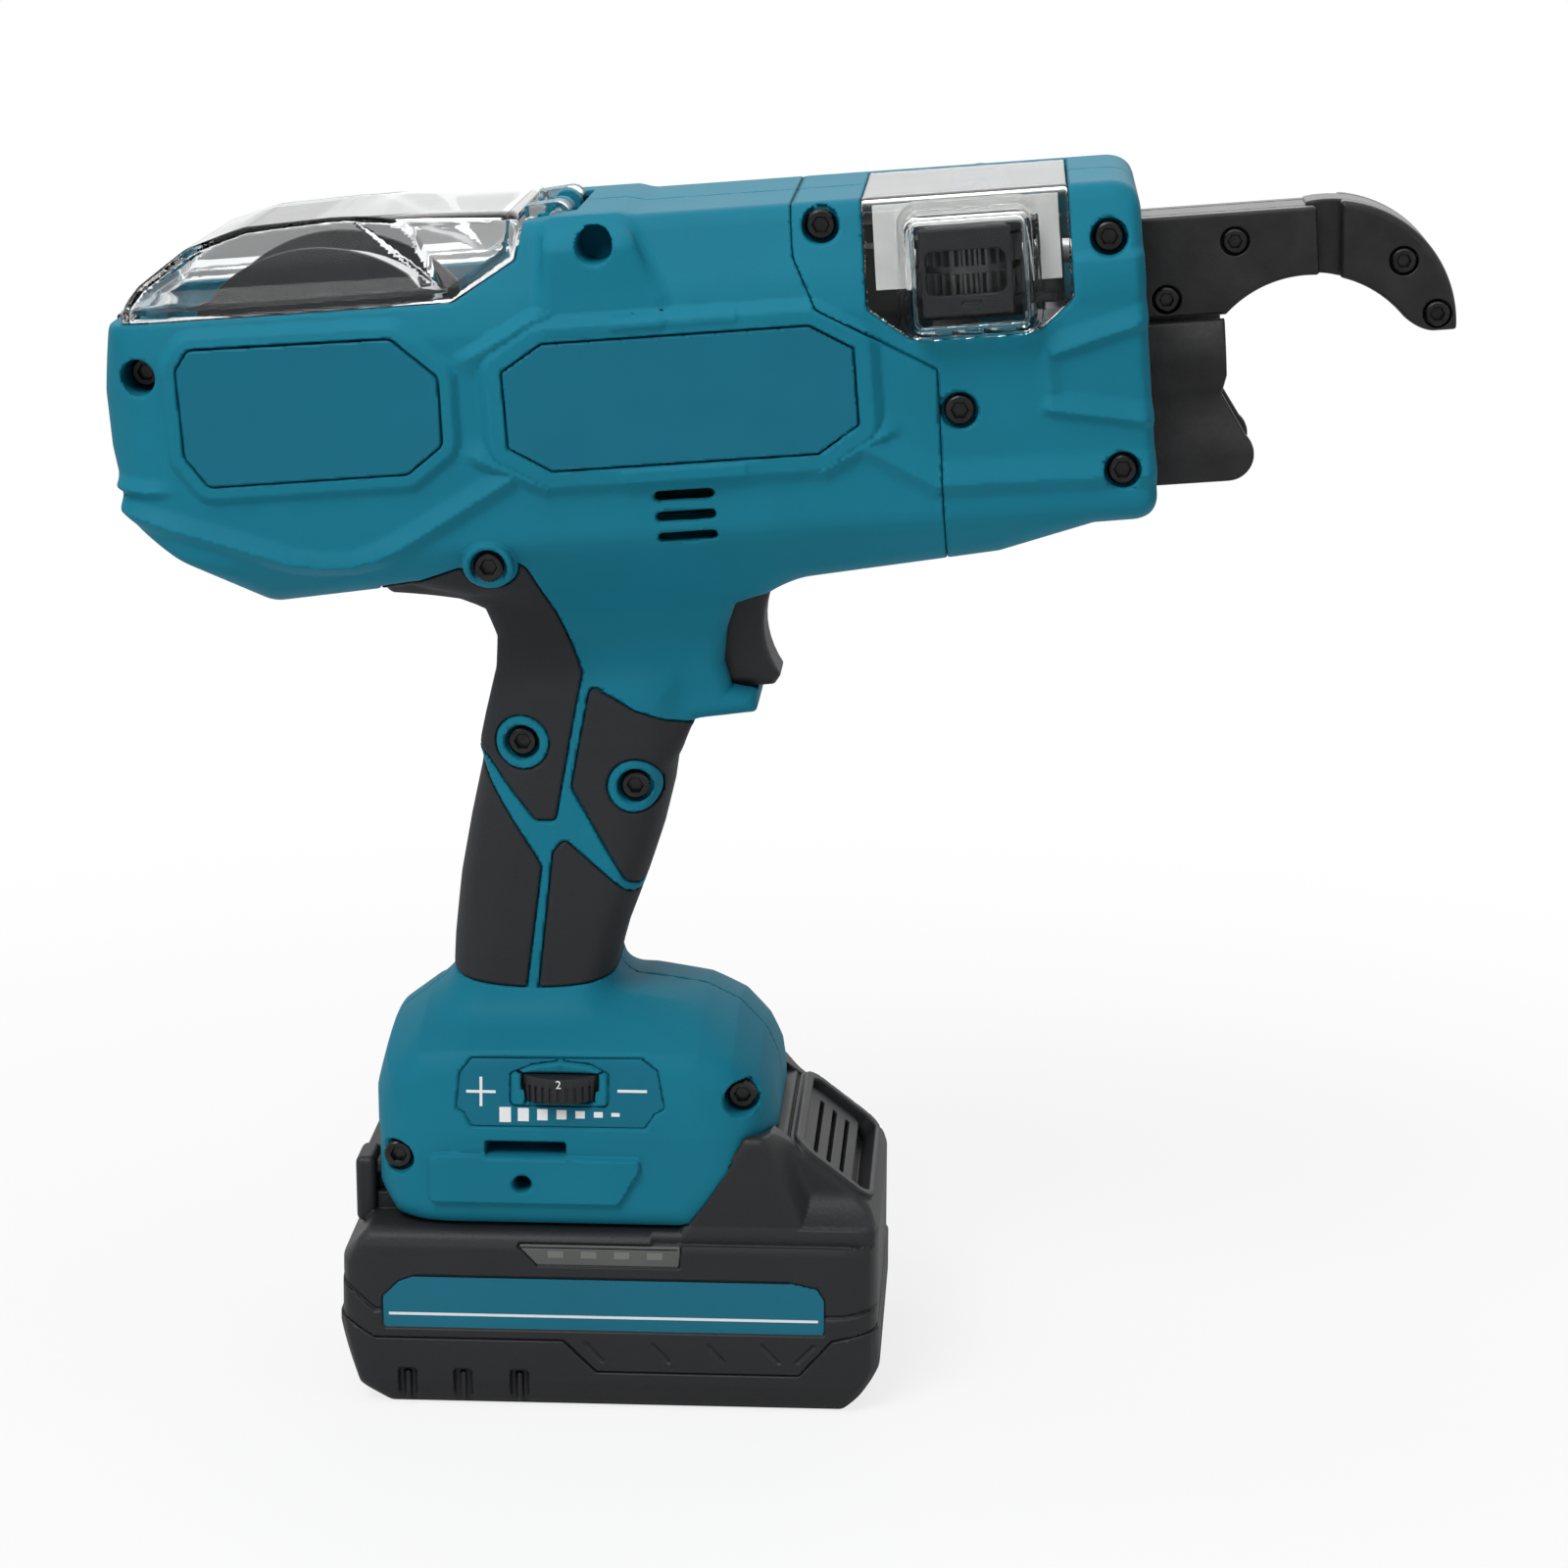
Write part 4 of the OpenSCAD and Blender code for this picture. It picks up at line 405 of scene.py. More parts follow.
GEAR = material("gear_steel", (0.075, 0.075, 0.077), 0.4, metal=0.8, grain=0.2, tint=0.2, tint_scale=300)
ALLOY = material("cast_alloy", (0.42, 0.42, 0.43), 0.5, metal=1.0, grain=0.5, grain_scale=600, tint=0.1)
BRASS = material("brass", (0.62, 0.42, 0.14), 0.3, metal=1.0, grain=0.1, tint=0.1, tint_scale=200)
BOARD = material("circuit_board", (0.012, 0.10, 0.04), 0.4, grain=0.2, tint=0.2, tint_scale=300)
WRAP = material("cell_wrap", (0.03, 0.11, 0.34), 0.3, grain=0.1, tint=0.08)
CLEAR = clear_material("clear_plastic", (0.97, 0.985, 0.985), 0.03, 1.3)
CLEAR_ARM = clear_material("clear_arm", (0.93, 0.95, 0.95), 0.2, 1.1)

# Outlines of the barrel, [x, z] in its own frame
BARREL_SIDE = [(118, 9.5), (118, 75.5), (113.5, 80), (-78, 80), (-98, 64.5), (-102, 50.5), (-102, 38.5),
               (-98, 23), (-70, 2.5), (-40, 4.5), (-28, 0), (34, -1), (84, 3.5), (104, 9.3)]
BARREL_SECTION = both([(20, -4), (38, 14), (38, 58), (28, 81)])
BARREL_PLAN = [(119, -39), (119, 39), (-102.5, 39), (-102.5, -39)]
HEAD_REGION = [(72.5, -20), (140, -20), (140, 100), (46, 100), (46, 69), (50, 58.5), (74, 44.5), (74, 40)]
COVER_REGION = [(-122, 64.5), (-24.5, 64.5), (-11, 72), (-9.5, 78), (-9.5, 100), (-122, 100)]
WINDOW = [(68.6, 51.4), (95.4, 51.4), (102.6, 57.2), (102.6, 89), (60.6, 89), (60.6, 57.8)]
CENTRE_LABEL = [(-6.4, 29.2), (48.6, 29.2), (57.2, 34.6), (57.2, 50.2), (48.6, 55.4), (-6.4, 55.4),
                (-15, 50.2), (-15, 34.6)]
REAR_LABEL = [(-78, 30.5), (-36.5, 30.5), (-28.8, 36), (-28.4, 50), (-37.5, 58.5), (-79.5, 59), (-82.4, 55),
              (-82.4, 37)]
WELL_BLOCK = [(-7, 56), (19.5, 56), (19, 63.5), (10, 84), (-4, 84)]

# Screws: [x, z, well depth] in the barrel frame or the tool's frame
CLAMP_SCREWS = [(5.8, 74.3, 13), (-91, 53.8, 13), (-21.9, 9.5, 3.6)]
HEAD_CLAMP = [(52, 74.7, 3.6)]
FRAME_SCREWS = [(110.5, 21.3, 3.6), (110.5, 68.5, 3.6), (78, 35.8, 3.6)]
GRIP_SCREWS = [(-18.4, 145.7, 3.6), (5.8, 136.3, 3.6)]
BASE_SCREWS = [(-45.6, 55.5, 6), (29.4, 70, 8)]
WELL_R = 3.85
GRIP_FACE = 18.0
BASE_FACE = 32.5
BLOCK_FACE = 36.4


def barrel_face(s):
    """How far out the barrel's side is at a screw: the side leans inwards above."""
    return min(HALF_W, HALF_W - (s[1] - 57) / 24 * 10)


def clamp_face(s):
    return BLOCK_FACE if s[1] > 70 else barrel_face(s)


def handle_face(s):
    return GRIP_FACE if s in GRIP_SCREWS else BASE_FACE


# Relief on the barrel's sides, times RELIEF in height
RELIEF = 1.4
TABS = [rect(8.2, 34.2, 57.4, 60.4), rect(7.8, 33.8, 25.2, 28.2)]

# Ridges: area [x0, x1, z0, z1], crest, height, slope above and below, share of it that fades in and out
RIDGES = [
    ((-28, -2, 48, 66), [(-26, 51.4), (-7.5, 60.6)], 2.0, 2.2, 4.4, 0.3, 0),
    ((-28, -4, 20, 38), [(-26, 34.6), (-8.2, 25.6)], 2.0, 4.4, 2.2, 0.3, 0),
    ((45, 69, 20, 38), [(49.4, 25.4), (66.6, 33.9)], 2.0, 4.4, 2.2, 0, 0.3),
    ((-104, -10, 6, 36), [(-98, 25.9), (-83.5, 20.8), (-73.4, 17.1), (-62.9, 12.9), (-56.5, 11.7),
                          (-50.3, 11.6), (-44.5, 12.8), (-39.9, 14.7), (-15.6, 27.6)], 2.1, 3.6, 2.4, 0, 0),
    ((-104, -80, 25, 36), [(-100, 30.9), (-84, 29.2)], 1.6, 2.6, 1.6, 0, 0.5),
    ((50, 122, 15, 40), [(55, 31.4), (72.4, 20.8), (121, 20.2)], 2.0, 5.2, 3.0, 0, 0),
    ((90, 122, 42, 62), [(95, 45.6), (121, 52.6)], 1.8, 4.0, 1.8, 0.12, 0),
    ((90, 122, 26, 42), [(93.6, 35.4), (121, 30.3)], 1.8, 4.0, 1.8, 0.12, 0),
    ((90, 102, 34, 50), [(97, 38.6), (96.4, 45.6)], 0.8, 2.4, 2.4, 0, 0),
]


def ramp(t):
    """A straight slope from 0 to 1, eased at its foot and its crest."""
    return (np.clip(t - 0.12, 0, 1) + np.clip(t, 0, 1) + np.clip(t + 0.12, 0, 1)) / 3


def bead(d, low, high, top, outer):
    """Rim round an outline: rises just outside it, stays level to top, and falls away at outer."""
    up = low + (high - low) * soft((d + 0.05) / 0.6)
    return np.where(d < top, np.minimum(up, high * ramp((outer - d) / (outer - top))),
                    high * ramp((outer - d) / (outer - top)))


def ridge(pts, height, up, down, fade_in, fade_out):
    """Crest along a line from left to right, with slopes of their own width above and below it."""
    def fn(x, z, h):
        d, t, above = line(x, z, pts)
        rise = ramp(1 - d / np.where(above, F32(up), F32(down)))
        if fade_in:
            rise = rise * soft(t / fade_in)
        if fade_out:
            rise = rise * soft((1 - t) / fade_out)
        return np.maximum(h, height * rise)
    return fn


def side_relief(x, z):
    """Raised rims and ridges of the barrel's side faces."""
    h = np.zeros(x.shape, F32)

    def centre(x, z, h):
        d = poly(x, z, CENTRE_LABEL)
        rim = bead(d, 0.3, 2.0, 3.4, 5.6)
        for tab in TABS:
            rim = rim + 0.45 * soft(0.5 - poly(x, z, tab, 0.6) / 1.2)
        return np.maximum(h, rim)

    def rear(x, z, h):
        return np.maximum(h, bead(poly(x, z, REAR_LABEL, 2), 0.0, 1.6, 2.4, 4.2))

    add_patch(h, x, z, (-24, 66, 20, 64), centre)
    add_patch(h, x, z, (-90, -22, 23, 66), rear)
    for area, *shape in RIDGES:
        add_patch(h, x, z, area, ridge(*shape))
    step = (x > 100) & (z > 48) & (z < 70)
    h[step] = np.maximum(h[step], 1.1 * soft((66.4 - z[step]) / 2.2) * soft((z[step] - 54) / 9)
                         * soft((x[step] - 101) / 3))
    return h


# The barrel's rounded tail: where it starts, half its flat and its radius
TAIL_X = -82
TAIL_HALF = 18
TAIL_R = 20.2


def barrel_form(x, y, z):
    side = poly(x, z, BARREL_SIDE, 6)
    section = poly(y, z, BARREL_SECTION, 5)
    plan = poly(x, y, BARREL_PLAN, 6)
    tail = np.hypot(np.maximum(TAIL_X - x, 0), np.maximum(np.abs(y) - TAIL_HALF, 0)) - TAIL_R
    plan = np.maximum(plan, tail)
    d = rmax(rmax(side, section, 4), plan, 4)
    m = (x > -12) & (x < 24) & (z > 50)
    if m.any():
        block = rmax(poly(x[m], z[m], WELL_BLOCK, 1.5), np.abs(y[m]) - 36.6, 2.5)
        block = rmax(block, z[m] - 79.9 + np.maximum(np.abs(y[m]) - 28, 0) * 0.55, 2)
        d[m] = rmin(d[m], block, 2.5)
    return d


def with_relief(d, x, y, z):
    m = (np.abs(d) < 8) & (np.abs(y) > 20)
    if m.any():
        w = soft((np.abs(y[m]) - 24) / 8) * soft((118.4 - x[m]) / 3)
        d[m] = d[m] - RELIEF * side_relief(x[m], z[m]) * w
    return d


# Grip, neck and base outlines in the tool's own frame
GRIP_SIDE = [(-2, 84), (3, 102), (7.6, 114), (11, 123.5), (13.4, 133), (15, 146), (15.5, 160), (-24, 160),
             (-27.4, 150), (-32.6, 127), (-34.8, 114), (-35.6, 100), (-35.6, 84)]
NECK_SIDE = [(14, 143), (19, 150.3), (32, 152), (32, 156.6), (26.4, 157.6), (24.8, 163), (25.4, 170),
             (27.6, 176.6), (34, 180), (40, 190), (-46, 190), (-46, 178.4), (-31, 177.2), (-26, 174.5),
             (-24, 168), (-24.4, 160), (-28, 143)]
BASE_SIDE = [(19, 41), (27, 49.4), (38, 54.8), (38, 64), (36.6, 71), (33, 77.5), (27.5, 83.4), (20, 87.2),
             (8, 89.6), (-10, 90.4), (-30, 88.8), (-41, 86), (-49, 80), (-53, 70), (-53, 47), (-46.5, 41)]
BASE_SECTION = both([(34.5, 30), (34.5, 62), (31, 81), (14, 91.5)])
BASE_PLAN = rect(-53, 38.5, -35, 35)
BASE_FLOOR = 62.6
GRIP_LEAN = math.radians(12)


def grip_form(x, y, z):
    side = poly(x, z, GRIP_SIDE, 2)
    u = (x + 19) * math.cos(GRIP_LEAN) - (z - 86) * math.sin(GRIP_LEAN)
    plan = np.hypot(np.maximum(np.abs(u - 1.5) - 9, 0), np.maximum(np.abs(y) - 3, 0)) - 15
    return rmax(side, plan, 6)


def neck_form(x, y, z):
    side = poly(x, z, NECK_SIDE, 1.2)
    return rmax(side, np.abs(y) - 15 - soft((z - 166) / 16) * 6, 3.5)


def base_form(x, y, z):
    crown = 0.008 * y * y * soft((z - 60) / 15)
    side = poly(x, z + crown, BASE_SIDE, 2)
    section = poly(y, z, BASE_SECTION, 1.5)
    plan = poly(x, y, BASE_PLAN, 21)
    return rmax(rmax(side, section, 5), plan, 5)


def handle_form(p):
    x, y, z = p.T
    d = np.full(x.shape, 40, F32)
    m = (z > 76) & (z < 196) & (x > -60) & (x < 50)
    if m.any():
        d[m] = rmin(grip_form(x[m], y[m], z[m]), neck_form(x[m], y[m], z[m]), 5)
    m = z < 116
    if m.any():
        d[m] = rmin(d[m], base_form(x[m], y[m], z[m]), 8)
    return d


def tool_form(p):
    """The whole housing's outer form: barrel with relief, neck, grip and base."""
    x, y, z = to_barrel(p)
    d = np.full(x.shape, 60, F32)
    m = z > -24
    if m.any():
        d[m] = with_relief(barrel_form(x[m], y[m], z[m]), x[m], y[m], z[m])
    m = z < 24
    if m.any():
        d[m] = rmin(d[m], handle_form(p[m]), 3 + 4 * soft((x[m] + 26) / 14))
    return d


def well(x, y, z, s, side, face):
    """A screw well cut from one side."""
    return np.maximum(np.hypot(x - s[0], z - s[1]) - WELL_R, face - s[2] - side * y)


def collar(x, y, z, s, side, face):
    near = np.hypot(x - s[0], z - s[1]) - WELL_R - 1.2
    return np.maximum(np.maximum(near, face - s[2] - 2 - side * y), side * y - face + 1.5)


DIAL_AT = (-9.6, -25.4)
DIAL_R = 10.0
DIAL_MID = 72.8
PANEL = [(-29, 63.6), (8.8, 63.8), (11, 67), (13.2, 68.2), (11.6, 76.6), (8, 79.2), (-29, 78.8),
         (-31.6, 75.6), (-32.4, 67.6), (-30.6, 66.6)]
BEZEL = [(-20.2, 68.8), (0.6, 68.8), (0.6, 75.6), (-3, 77.4), (-9.6, 78.2), (-16, 77.2), (-20.2, 75.4)]
HOOK_PAD = [(-38.2, 46.6), (3, 46.6), (7.8, 55), (7.6, 57), (-36, 57.8), (-38.2, 56.4)]
HOOK_SLOT = rect(-26, -8.4, 57.4, 60.6)


def base_details(d, x, y, z, side):
    """Hook pad, panel recess, dial opening, slot and hole on the base's sides."""
    out = side * y
    m = (out > 21) & (z > 42) & (z < 82) & (x > -42) & (x < 18) & (np.abs(d) < 14)
    if m.any():
        px, pz, dm, om = x[m], z[m], d[m], out[m]
        h = 2.0 * soft(0.5 - poly(px, pz, HOOK_PAD, 1.0) / 0.6)
        if side < 0:
            panel = poly(px, pz, PANEL, 0.8)
            bezel = poly(px, pz, BEZEL, 0.8)
            low = -1.3 * soft(0.5 - panel / 0.7)
            frame_h = 0.5 * soft(0.5 - bezel / 0.7) - 1.3 * soft(0.5 + bezel / 0.7)
            h = h + np.maximum(low, frame_h) * (panel < 0.4)
        dm = dm - h
        dm = less(dm, np.maximum(poly(px, pz, HOOK_SLOT, 0.4), 23.6 - om), 0.25)
        dm = less(dm, np.maximum(np.hypot(px + 17.9, pz - 51.3) - 2, 25.5 - om), 0.3)
        d[m] = dm
    if side < 0:
        m = (np.abs(z - DIAL_MID) < 8) & (np.abs(x - DIAL_AT[0]) < 14) & (y < -10)
        if m.any():
            ring = np.hypot(x[m] - DIAL_AT[0], y[m] - DIAL_AT[1]) - DIAL_R - 0.4
            slot = np.maximum(ring, np.abs(z[m] - DIAL_MID) - 3.2)
            d[m] = less(d[m], slot, 0.3)
    return d


PAD_OUTLINES = [
    [(-47, 181.4), (-38, 183.2), (-30, 186.4), (-23, 188.6), (-17.6, 189), (-15.2, 186.6), (-5.4, 160.8),
     (-8.3, 145.5), (-11.4, 128.6), (-15.6, 128.6), (-27.5, 143.5), (-47, 163)],
    [(-3.5, 158.4), (6, 153), (13, 150.6), (34, 147), (34, 111), (6, 113.6), (3.6, 115), (-7.8, 136)],
    [(-60, 172), (-29, 141.6), (-15.5, 120), (-14.6, 118), (-18.6, 88), (-60, 88)],
    [(-12, 121.4), (-9.6, 124.4), (3.6, 112.4), (7, 110.8), (34, 109), (34, 88), (-15.8, 88)],
]
PAD_GAP = 0.25
REAR_BOSS = (-22.6, 187.8)


def pad_areas(x, z):
    d = np.full(x.shape, 1e3, F32)
    for pts in PAD_OUTLINES:
        d = np.minimum(d, poly(x, z, list(reversed(pts)), 1.2))
    floor = 93.4 - 2.4 * np.clip(1 - ((x + 17) / 18.5) ** 2, 0, 1)
    d = np.maximum(d, floor - z)
    for s in GRIP_SCREWS + [REAR_BOSS]:
        d = np.maximum(d, 6.0 - np.hypot(x - s[0], z - s[1]))
    return d


def pad_zone(p):
    x, z = p[:, 0], p[:, 2]
    d = np.full(x.shape, 50, F32)
    m = (z > 84) & (z < 192) & (x > -64) & (x < 38)
    if m.any():
        d[m] = pad_areas(x[m], z[m])
    return d


def clamp_wells(d, at, form, side, screws, face, cut):
    """Collars round screws, and the wells that their heads sit in where they are cut."""
    for s in screws:
        d = np.minimum(d, np.maximum(collar(*at, s, side, face(s)), form + 0.6))
        if cut:
            d = less(d, well(*at, s, side, face(s)), 0.4)
    return d


def inner_walls(bx, by, bz, form, out, side):
    """Walls of the spool bay, the spool's bosses and the latch's block."""
    wall = np.maximum(np.abs(bx + 19.7) - 1.3, np.abs(bz - 30) - 27.5)
    wall = np.minimum(wall, np.maximum(np.abs(bx + 7.9) - 1, np.abs(bz - 67.5) - 9))
    boss = np.hypot(bx - SPOOL_AT[0], bz - SPOOL_AT[1]) - 13
    wall = np.minimum(wall, np.maximum(boss, (23.4 if side < 0 else 22.4) - out))
    latch = np.maximum(np.maximum(bx + 92.6, np.abs(by) - 10.4), np.abs(bz - 53) - 10.4)
    return np.maximum(np.minimum(wall, latch), form + 2)


def air_slots(d, bx, bz, out):
    for i in range(3):
        slot = np.hypot(np.maximum(np.abs(bx - 20.2) - 5.2, 0), bz - (13.4 + 4.4 * i)) - 1.05
        d = less(d, np.maximum(slot, 30 - out), 0.3)
    return d


def hinge_seat(d, bx, by, bz):
    """The latch's pocket, and the hinge's gap, lugs and pin bore."""
    d = less(d, box(bx, by, bz, (-112, -8.4, 44.6), (-94.6, 8.4, 74), 0), 0.3)
    d = less(d, box(bx, by, bz, (-9.5, -19, 75), (0.8, 19, 90), 0), 0.3)
    pin = np.hypot(bx - HINGE[0], bz - HINGE[1])
    lug = np.maximum(pin - 3, np.abs(np.abs(by) - 7.15) - 2.35)
    foot = box(bx, np.abs(by), bz, (-8.4, 4.8, 70), (-0.4, 9.5, 79), 0.2)
    d = np.minimum(d, np.minimum(lug, foot))
    return less(d, np.maximum(pin - PIN_R, np.abs(by) - 21.5), 0)


def spool_bore(d, bx, bz, y, side):
    """Open through the left boss for the lock, blind in the right one for the axle."""
    bore = np.hypot(bx - SPOOL_AT[0], bz - SPOOL_AT[1]) - SPOOL_BORE_R
    if side > 0:
        return less(d, np.maximum(bore, 10 - y), 0.3)
    return less(d, np.maximum(np.maximum(bore, y), -y - 29.4), 0.1)


def battery_channel(d, x, y, z):
    channel = np.maximum(np.abs(y) - 22.4, z - 60)
    rail = np.maximum(np.maximum(19.4 - np.abs(y), np.abs(z - 46.6) - 1.6), np.abs(x + 7.25) - 42.25)
    return less(d, np.maximum(channel, -rail), 0.2)


def main_housing(side):
    def f(p):
        x, y, z = p.T
        bx, by, bz = to_barrel(p)
        form = tool_form(p)
        out = side * y
        d = base_details(form.copy(), x, y, z, side)
        zone = pad_zone(p)
        m = zone < 3
        if m.any():
            d[m] = less(d[m], np.maximum(zone[m] - PAD_GAP, -(form[m] + 1.5)), 0.25)
        hollow = np.maximum(form + WALL, np.where(bz > -6, -100, BASE_FLOOR - z))
        hollow = np.where(zone < 2, np.maximum(hollow, form + WALL + 1.4), hollow)
        d = np.maximum(d, -hollow)
        d = np.minimum(d, inner_walls(bx, by, bz, form, out, side))
        d = clamp_wells(d, (bx, by, bz), form, side, CLAMP_SCREWS, clamp_face, side < 0)
        boss = np.hypot(x - REAR_BOSS[0], z - REAR_BOSS[1]) - 5.3
        boss = rmax(rmax(boss, rmax(form - 3, out - 37.6, 1), 0.6), 26 - out, 0)
        d = rmin(d, boss, 0.6)
        if side < 0:
            d = less(d, well(bx, by, bz, CLAMP_SCREWS[2], side, HALF_W), 0.4)
        d = clamp_wells(d, (x, y, z), form, side, GRIP_SCREWS + BASE_SCREWS, handle_face, side < 0)
        d = air_slots(d, bx, bz, out)
        d = less(d, poly(bx, bz, COVER_REGION), 0.6)
        d = rmax(d, PART_GAP - poly(bx, bz, HEAD_REGION), 0.3)
        d = hinge_seat(d, bx, by, bz)
        d = spool_bore(d, bx, bz, y, side)
        d = less(d, box(bx, by, bz, (7, -9.4, -26.5), (60, 9.4, -2.6), 1), 0.3)
        d = battery_channel(d, x, y, z)
        return rmax(d, SEAM - out, 0.25)
    return f


def head_housing(side):
    def f(p):
        x, y, z = to_barrel(p)
        form = with_relief(barrel_form(x, y, z), x, y, z)
        d = np.maximum(form, -(form + WALL))
        d = clamp_wells(d, (x, y, z), form, side, FRAME_SCREWS, barrel_face, True)
        d = clamp_wells(d, (x, y, z), form, side, HEAD_CLAMP, barrel_face, side < 0)
        if side > 0:
            near = np.hypot(x - CLUTCH_AT[0], z - CLUTCH_AT[1])
            d = less(d, np.maximum(near - 6.2, 33 - y), 0.2)
            d = rmin(d, np.maximum(near - 6, np.abs(y - 28.5) - 4.5), 0.5)
            d = less(d, np.maximum(near - 2.05, 10 - y), 0.2)
        d = less(d, np.maximum(poly(x, z, WINDOW, 2) - 0.2, y - 22), 0.35)
        d = less(d, box(x, y, z, (113.4, -15.6, 12.1), (130, 15.6, 69.4), 0.5), 0.4)
        d = rmax(d, poly(x, z, HEAD_REGION) + PART_GAP, 0.3)
        return rmax(d, SEAM - side * y, 0.25)
    return f


CELL = 0.75
for side, tag in SIDES:
    y0, y1 = (-43, 1) if side < 0 else (-1, 43)
    for part, shape, lo, hi, faces in (("main", main_housing, (-106, y0, 38), (80, y1, 272), 170000),
                                       ("head", head_housing, (36, y0, 184), (122, y1, 272), 90000)):
        node = part + "_housing_" + tag
        piece(node + "_shell", shape(side), lo, hi, CELL, faces, TEAL, "frame", [node])

# Clear cover over the spool bay, with a panel creased into each side and a thick lip round its foot
COVER_SIDE = [(-9.5, 60.5), (-9.5, 81.5), (-30, 82.5), (-50, 83), (-68, 82), (-80, 78.6), (-90, 72),
              (-100, 60.5)]
COVER_SECTION = both([(38, 57), (27.2, 83.5)])
COVER_PANEL = [(-97, 62), (-25, 62), (-26, 68), (-48, 84.5), (-66, 84.5), (-92, 70)]
COVER_WALL = 1.8
COVER_GAP = 0.4
COVER_TAIL_X = -80.5
COVER_TAIL_HALF = 16
COVER_TAIL_R = 22
KNUCKLE_R = 3
KNUCKLE_Y = 13.95
KNUCKLE_HALF = 4.05


def cover_form(x, y, z):
    side = poly(x, z, COVER_SIDE, 5)
    section = poly(y, z, COVER_SECTION, 8)
    tail = np.hypot(np.maximum(COVER_TAIL_X - x, 0), np.maximum(np.abs(y) - COVER_TAIL_HALF, 0))
    d = rmax(rmax(side, section, 2.5), tail - COVER_TAIL_R, 4)
    out = np.abs(y) - (36.6 - (z - 64.5) * 0.8)
    wedge = np.maximum(-out * 0.78, poly(x, z, COVER_PANEL) - 1.3 * out)
    return less(d, wedge, 0.7)


def rear_cover(p):
    x, y, z = to_barrel(p)
    form = cover_form(x, y, z)
    edge = poly(x, z, COVER_REGION, 0) + COVER_GAP
    lip = 0.7 * soft((edge + 2.6) / 0.7)
    d = np.maximum(form - lip, -(form + COVER_WALL))
    open_end = np.maximum(np.abs(x + 9.5) - 9, z - 79.6)
    d = np.maximum(d, -np.maximum(open_end, poly(y, z, COVER_SECTION, 8) + COVER_WALL))
    return rmax(d, edge, 0.5)


def cover_arms(p):
    """The cover's two hinge arms, each ending in a knuckle round the pin."""
    x, y, z = to_barrel(p)
    knuckle = np.hypot(x - HINGE[0], z - HINGE[1])
    arm = poly(x, z, [(-9.9, 78.4), (HINGE[0], 76), (HINGE[0], 82), (-9.9, 81.5)])
    arm = rmax(np.minimum(arm, knuckle - KNUCKLE_R), np.abs(np.abs(y) - KNUCKLE_Y) - KNUCKLE_HALF, 0.6)
    return less(arm, knuckle - PIN_R, 0)


# Box of the feed window: outline, corner radius, reach and wall, and the window's thickness
BUBBLE = rect(69, 95, 51.8, 76.5)
BUBBLE_R = 3.2
BUBBLE_Y = 43.5
BUBBLE_WALL = 1.4
PANE = 1.8


def feed_window(p):
    x, y, z = to_barrel(p)
    form = barrel_form(x, y, z)
    pane = poly(x, z, WINDOW, 2)
    plate = np.maximum(np.maximum(form, -(form + PANE)), np.maximum(pane, y - 21.8))
    outline = poly(x, z, BUBBLE, BUBBLE_R)
    hump = rmax(rmax(outline, -BUBBLE_Y - y, 2.6), y + 20, 1)
    skirt = rmax(rmax(outline - 1.3, -(form + 1.2), 0.3), form - 0.8, 0.5)
    skirt = np.maximum(skirt, y + 20)
    skirt = np.maximum(skirt, np.where(pane > -0.2, 0.05 - form, F32(-5)))
    body = rmin(plate, np.minimum(np.maximum(hump, -(form + PANE)), skirt), 0.4)
    return np.maximum(body, -(hump + BUBBLE_WALL))


PAD_THICK = 1.2


def grip_pads(side):
    def f(p):
        form = tool_form(p)
        d = np.maximum(form, -(form + PAD_THICK))
        d = rmax(d, pad_zone(p), 0.7)
        return np.maximum(d, SEAM - side * p[:, 1])
    return f


TRIGGER = [(19, -4), (15, -8), (15, -20), (17, -24), (22, -25.8), (33.4, -26)]
TRIGGER += [(32.2 + 0.028 * (z + 14) ** 2, z) for z in range(-24, -3, 2)]
TRIGGER_HALF = 9


def trigger(p):
    x, y, z = to_barrel(p)
    side = poly(x, z, TRIGGER, 1.0)
    front = np.clip((x - 24) / 10, 0, 1)
    return rmax(side, np.abs(y) - TRIGGER_HALF + 1.2 * front * front, 2.6)


WING_AT = (132.8, 19)
WING_R = 5.6
WING = [(WING_AT[0] + WING_R * math.cos(math.radians(a)), WING_AT[1] + WING_R * math.sin(math.radians(a)))
        for a in range(-90, 46, 9)]
GUIDE_SIDE = [(113.2, 13.4)] + WING + [(132.4, 31.6), (133.6, 35.5), (133.8, 47.2), (113.2, 47.2)]
GUIDE_WAIST = 31.6
GUIDE_HALF = 11.5
GUIDE_SHEET = 2.2
SHAFT_ROOM_R = 10.6


def lower_guide(p):
    x, y, z = to_barrel(p)
    bulge = 2.5 * np.sin(np.clip((z - GUIDE_WAIST) / 15.8, 0, 1) * math.pi)
    flare = 3.0 * soft((GUIDE_WAIST - z) / 13)
    out = GUIDE_HALF + bulge + flare
    sheet = np.maximum(np.abs(y) - out, out - GUIDE_SHEET - np.abs(y)) * 0.92
    floor = np.maximum(np.abs(z - 14.5) - 1.1, np.maximum(np.abs(y) - 13, x - 118.4))
    d = np.minimum(sheet, floor)
    d = rmax(d, poly(x, z, GUIDE_SIDE), 0.6)
    flange = box(x, y, z, (113.0, -15, 13.4), (115.4, 15, 46.8), 0.4)
    flange = np.maximum(flange, SHAFT_ROOM_R - np.hypot(y, z - TWIST_Z))
    return np.minimum(d, flange)


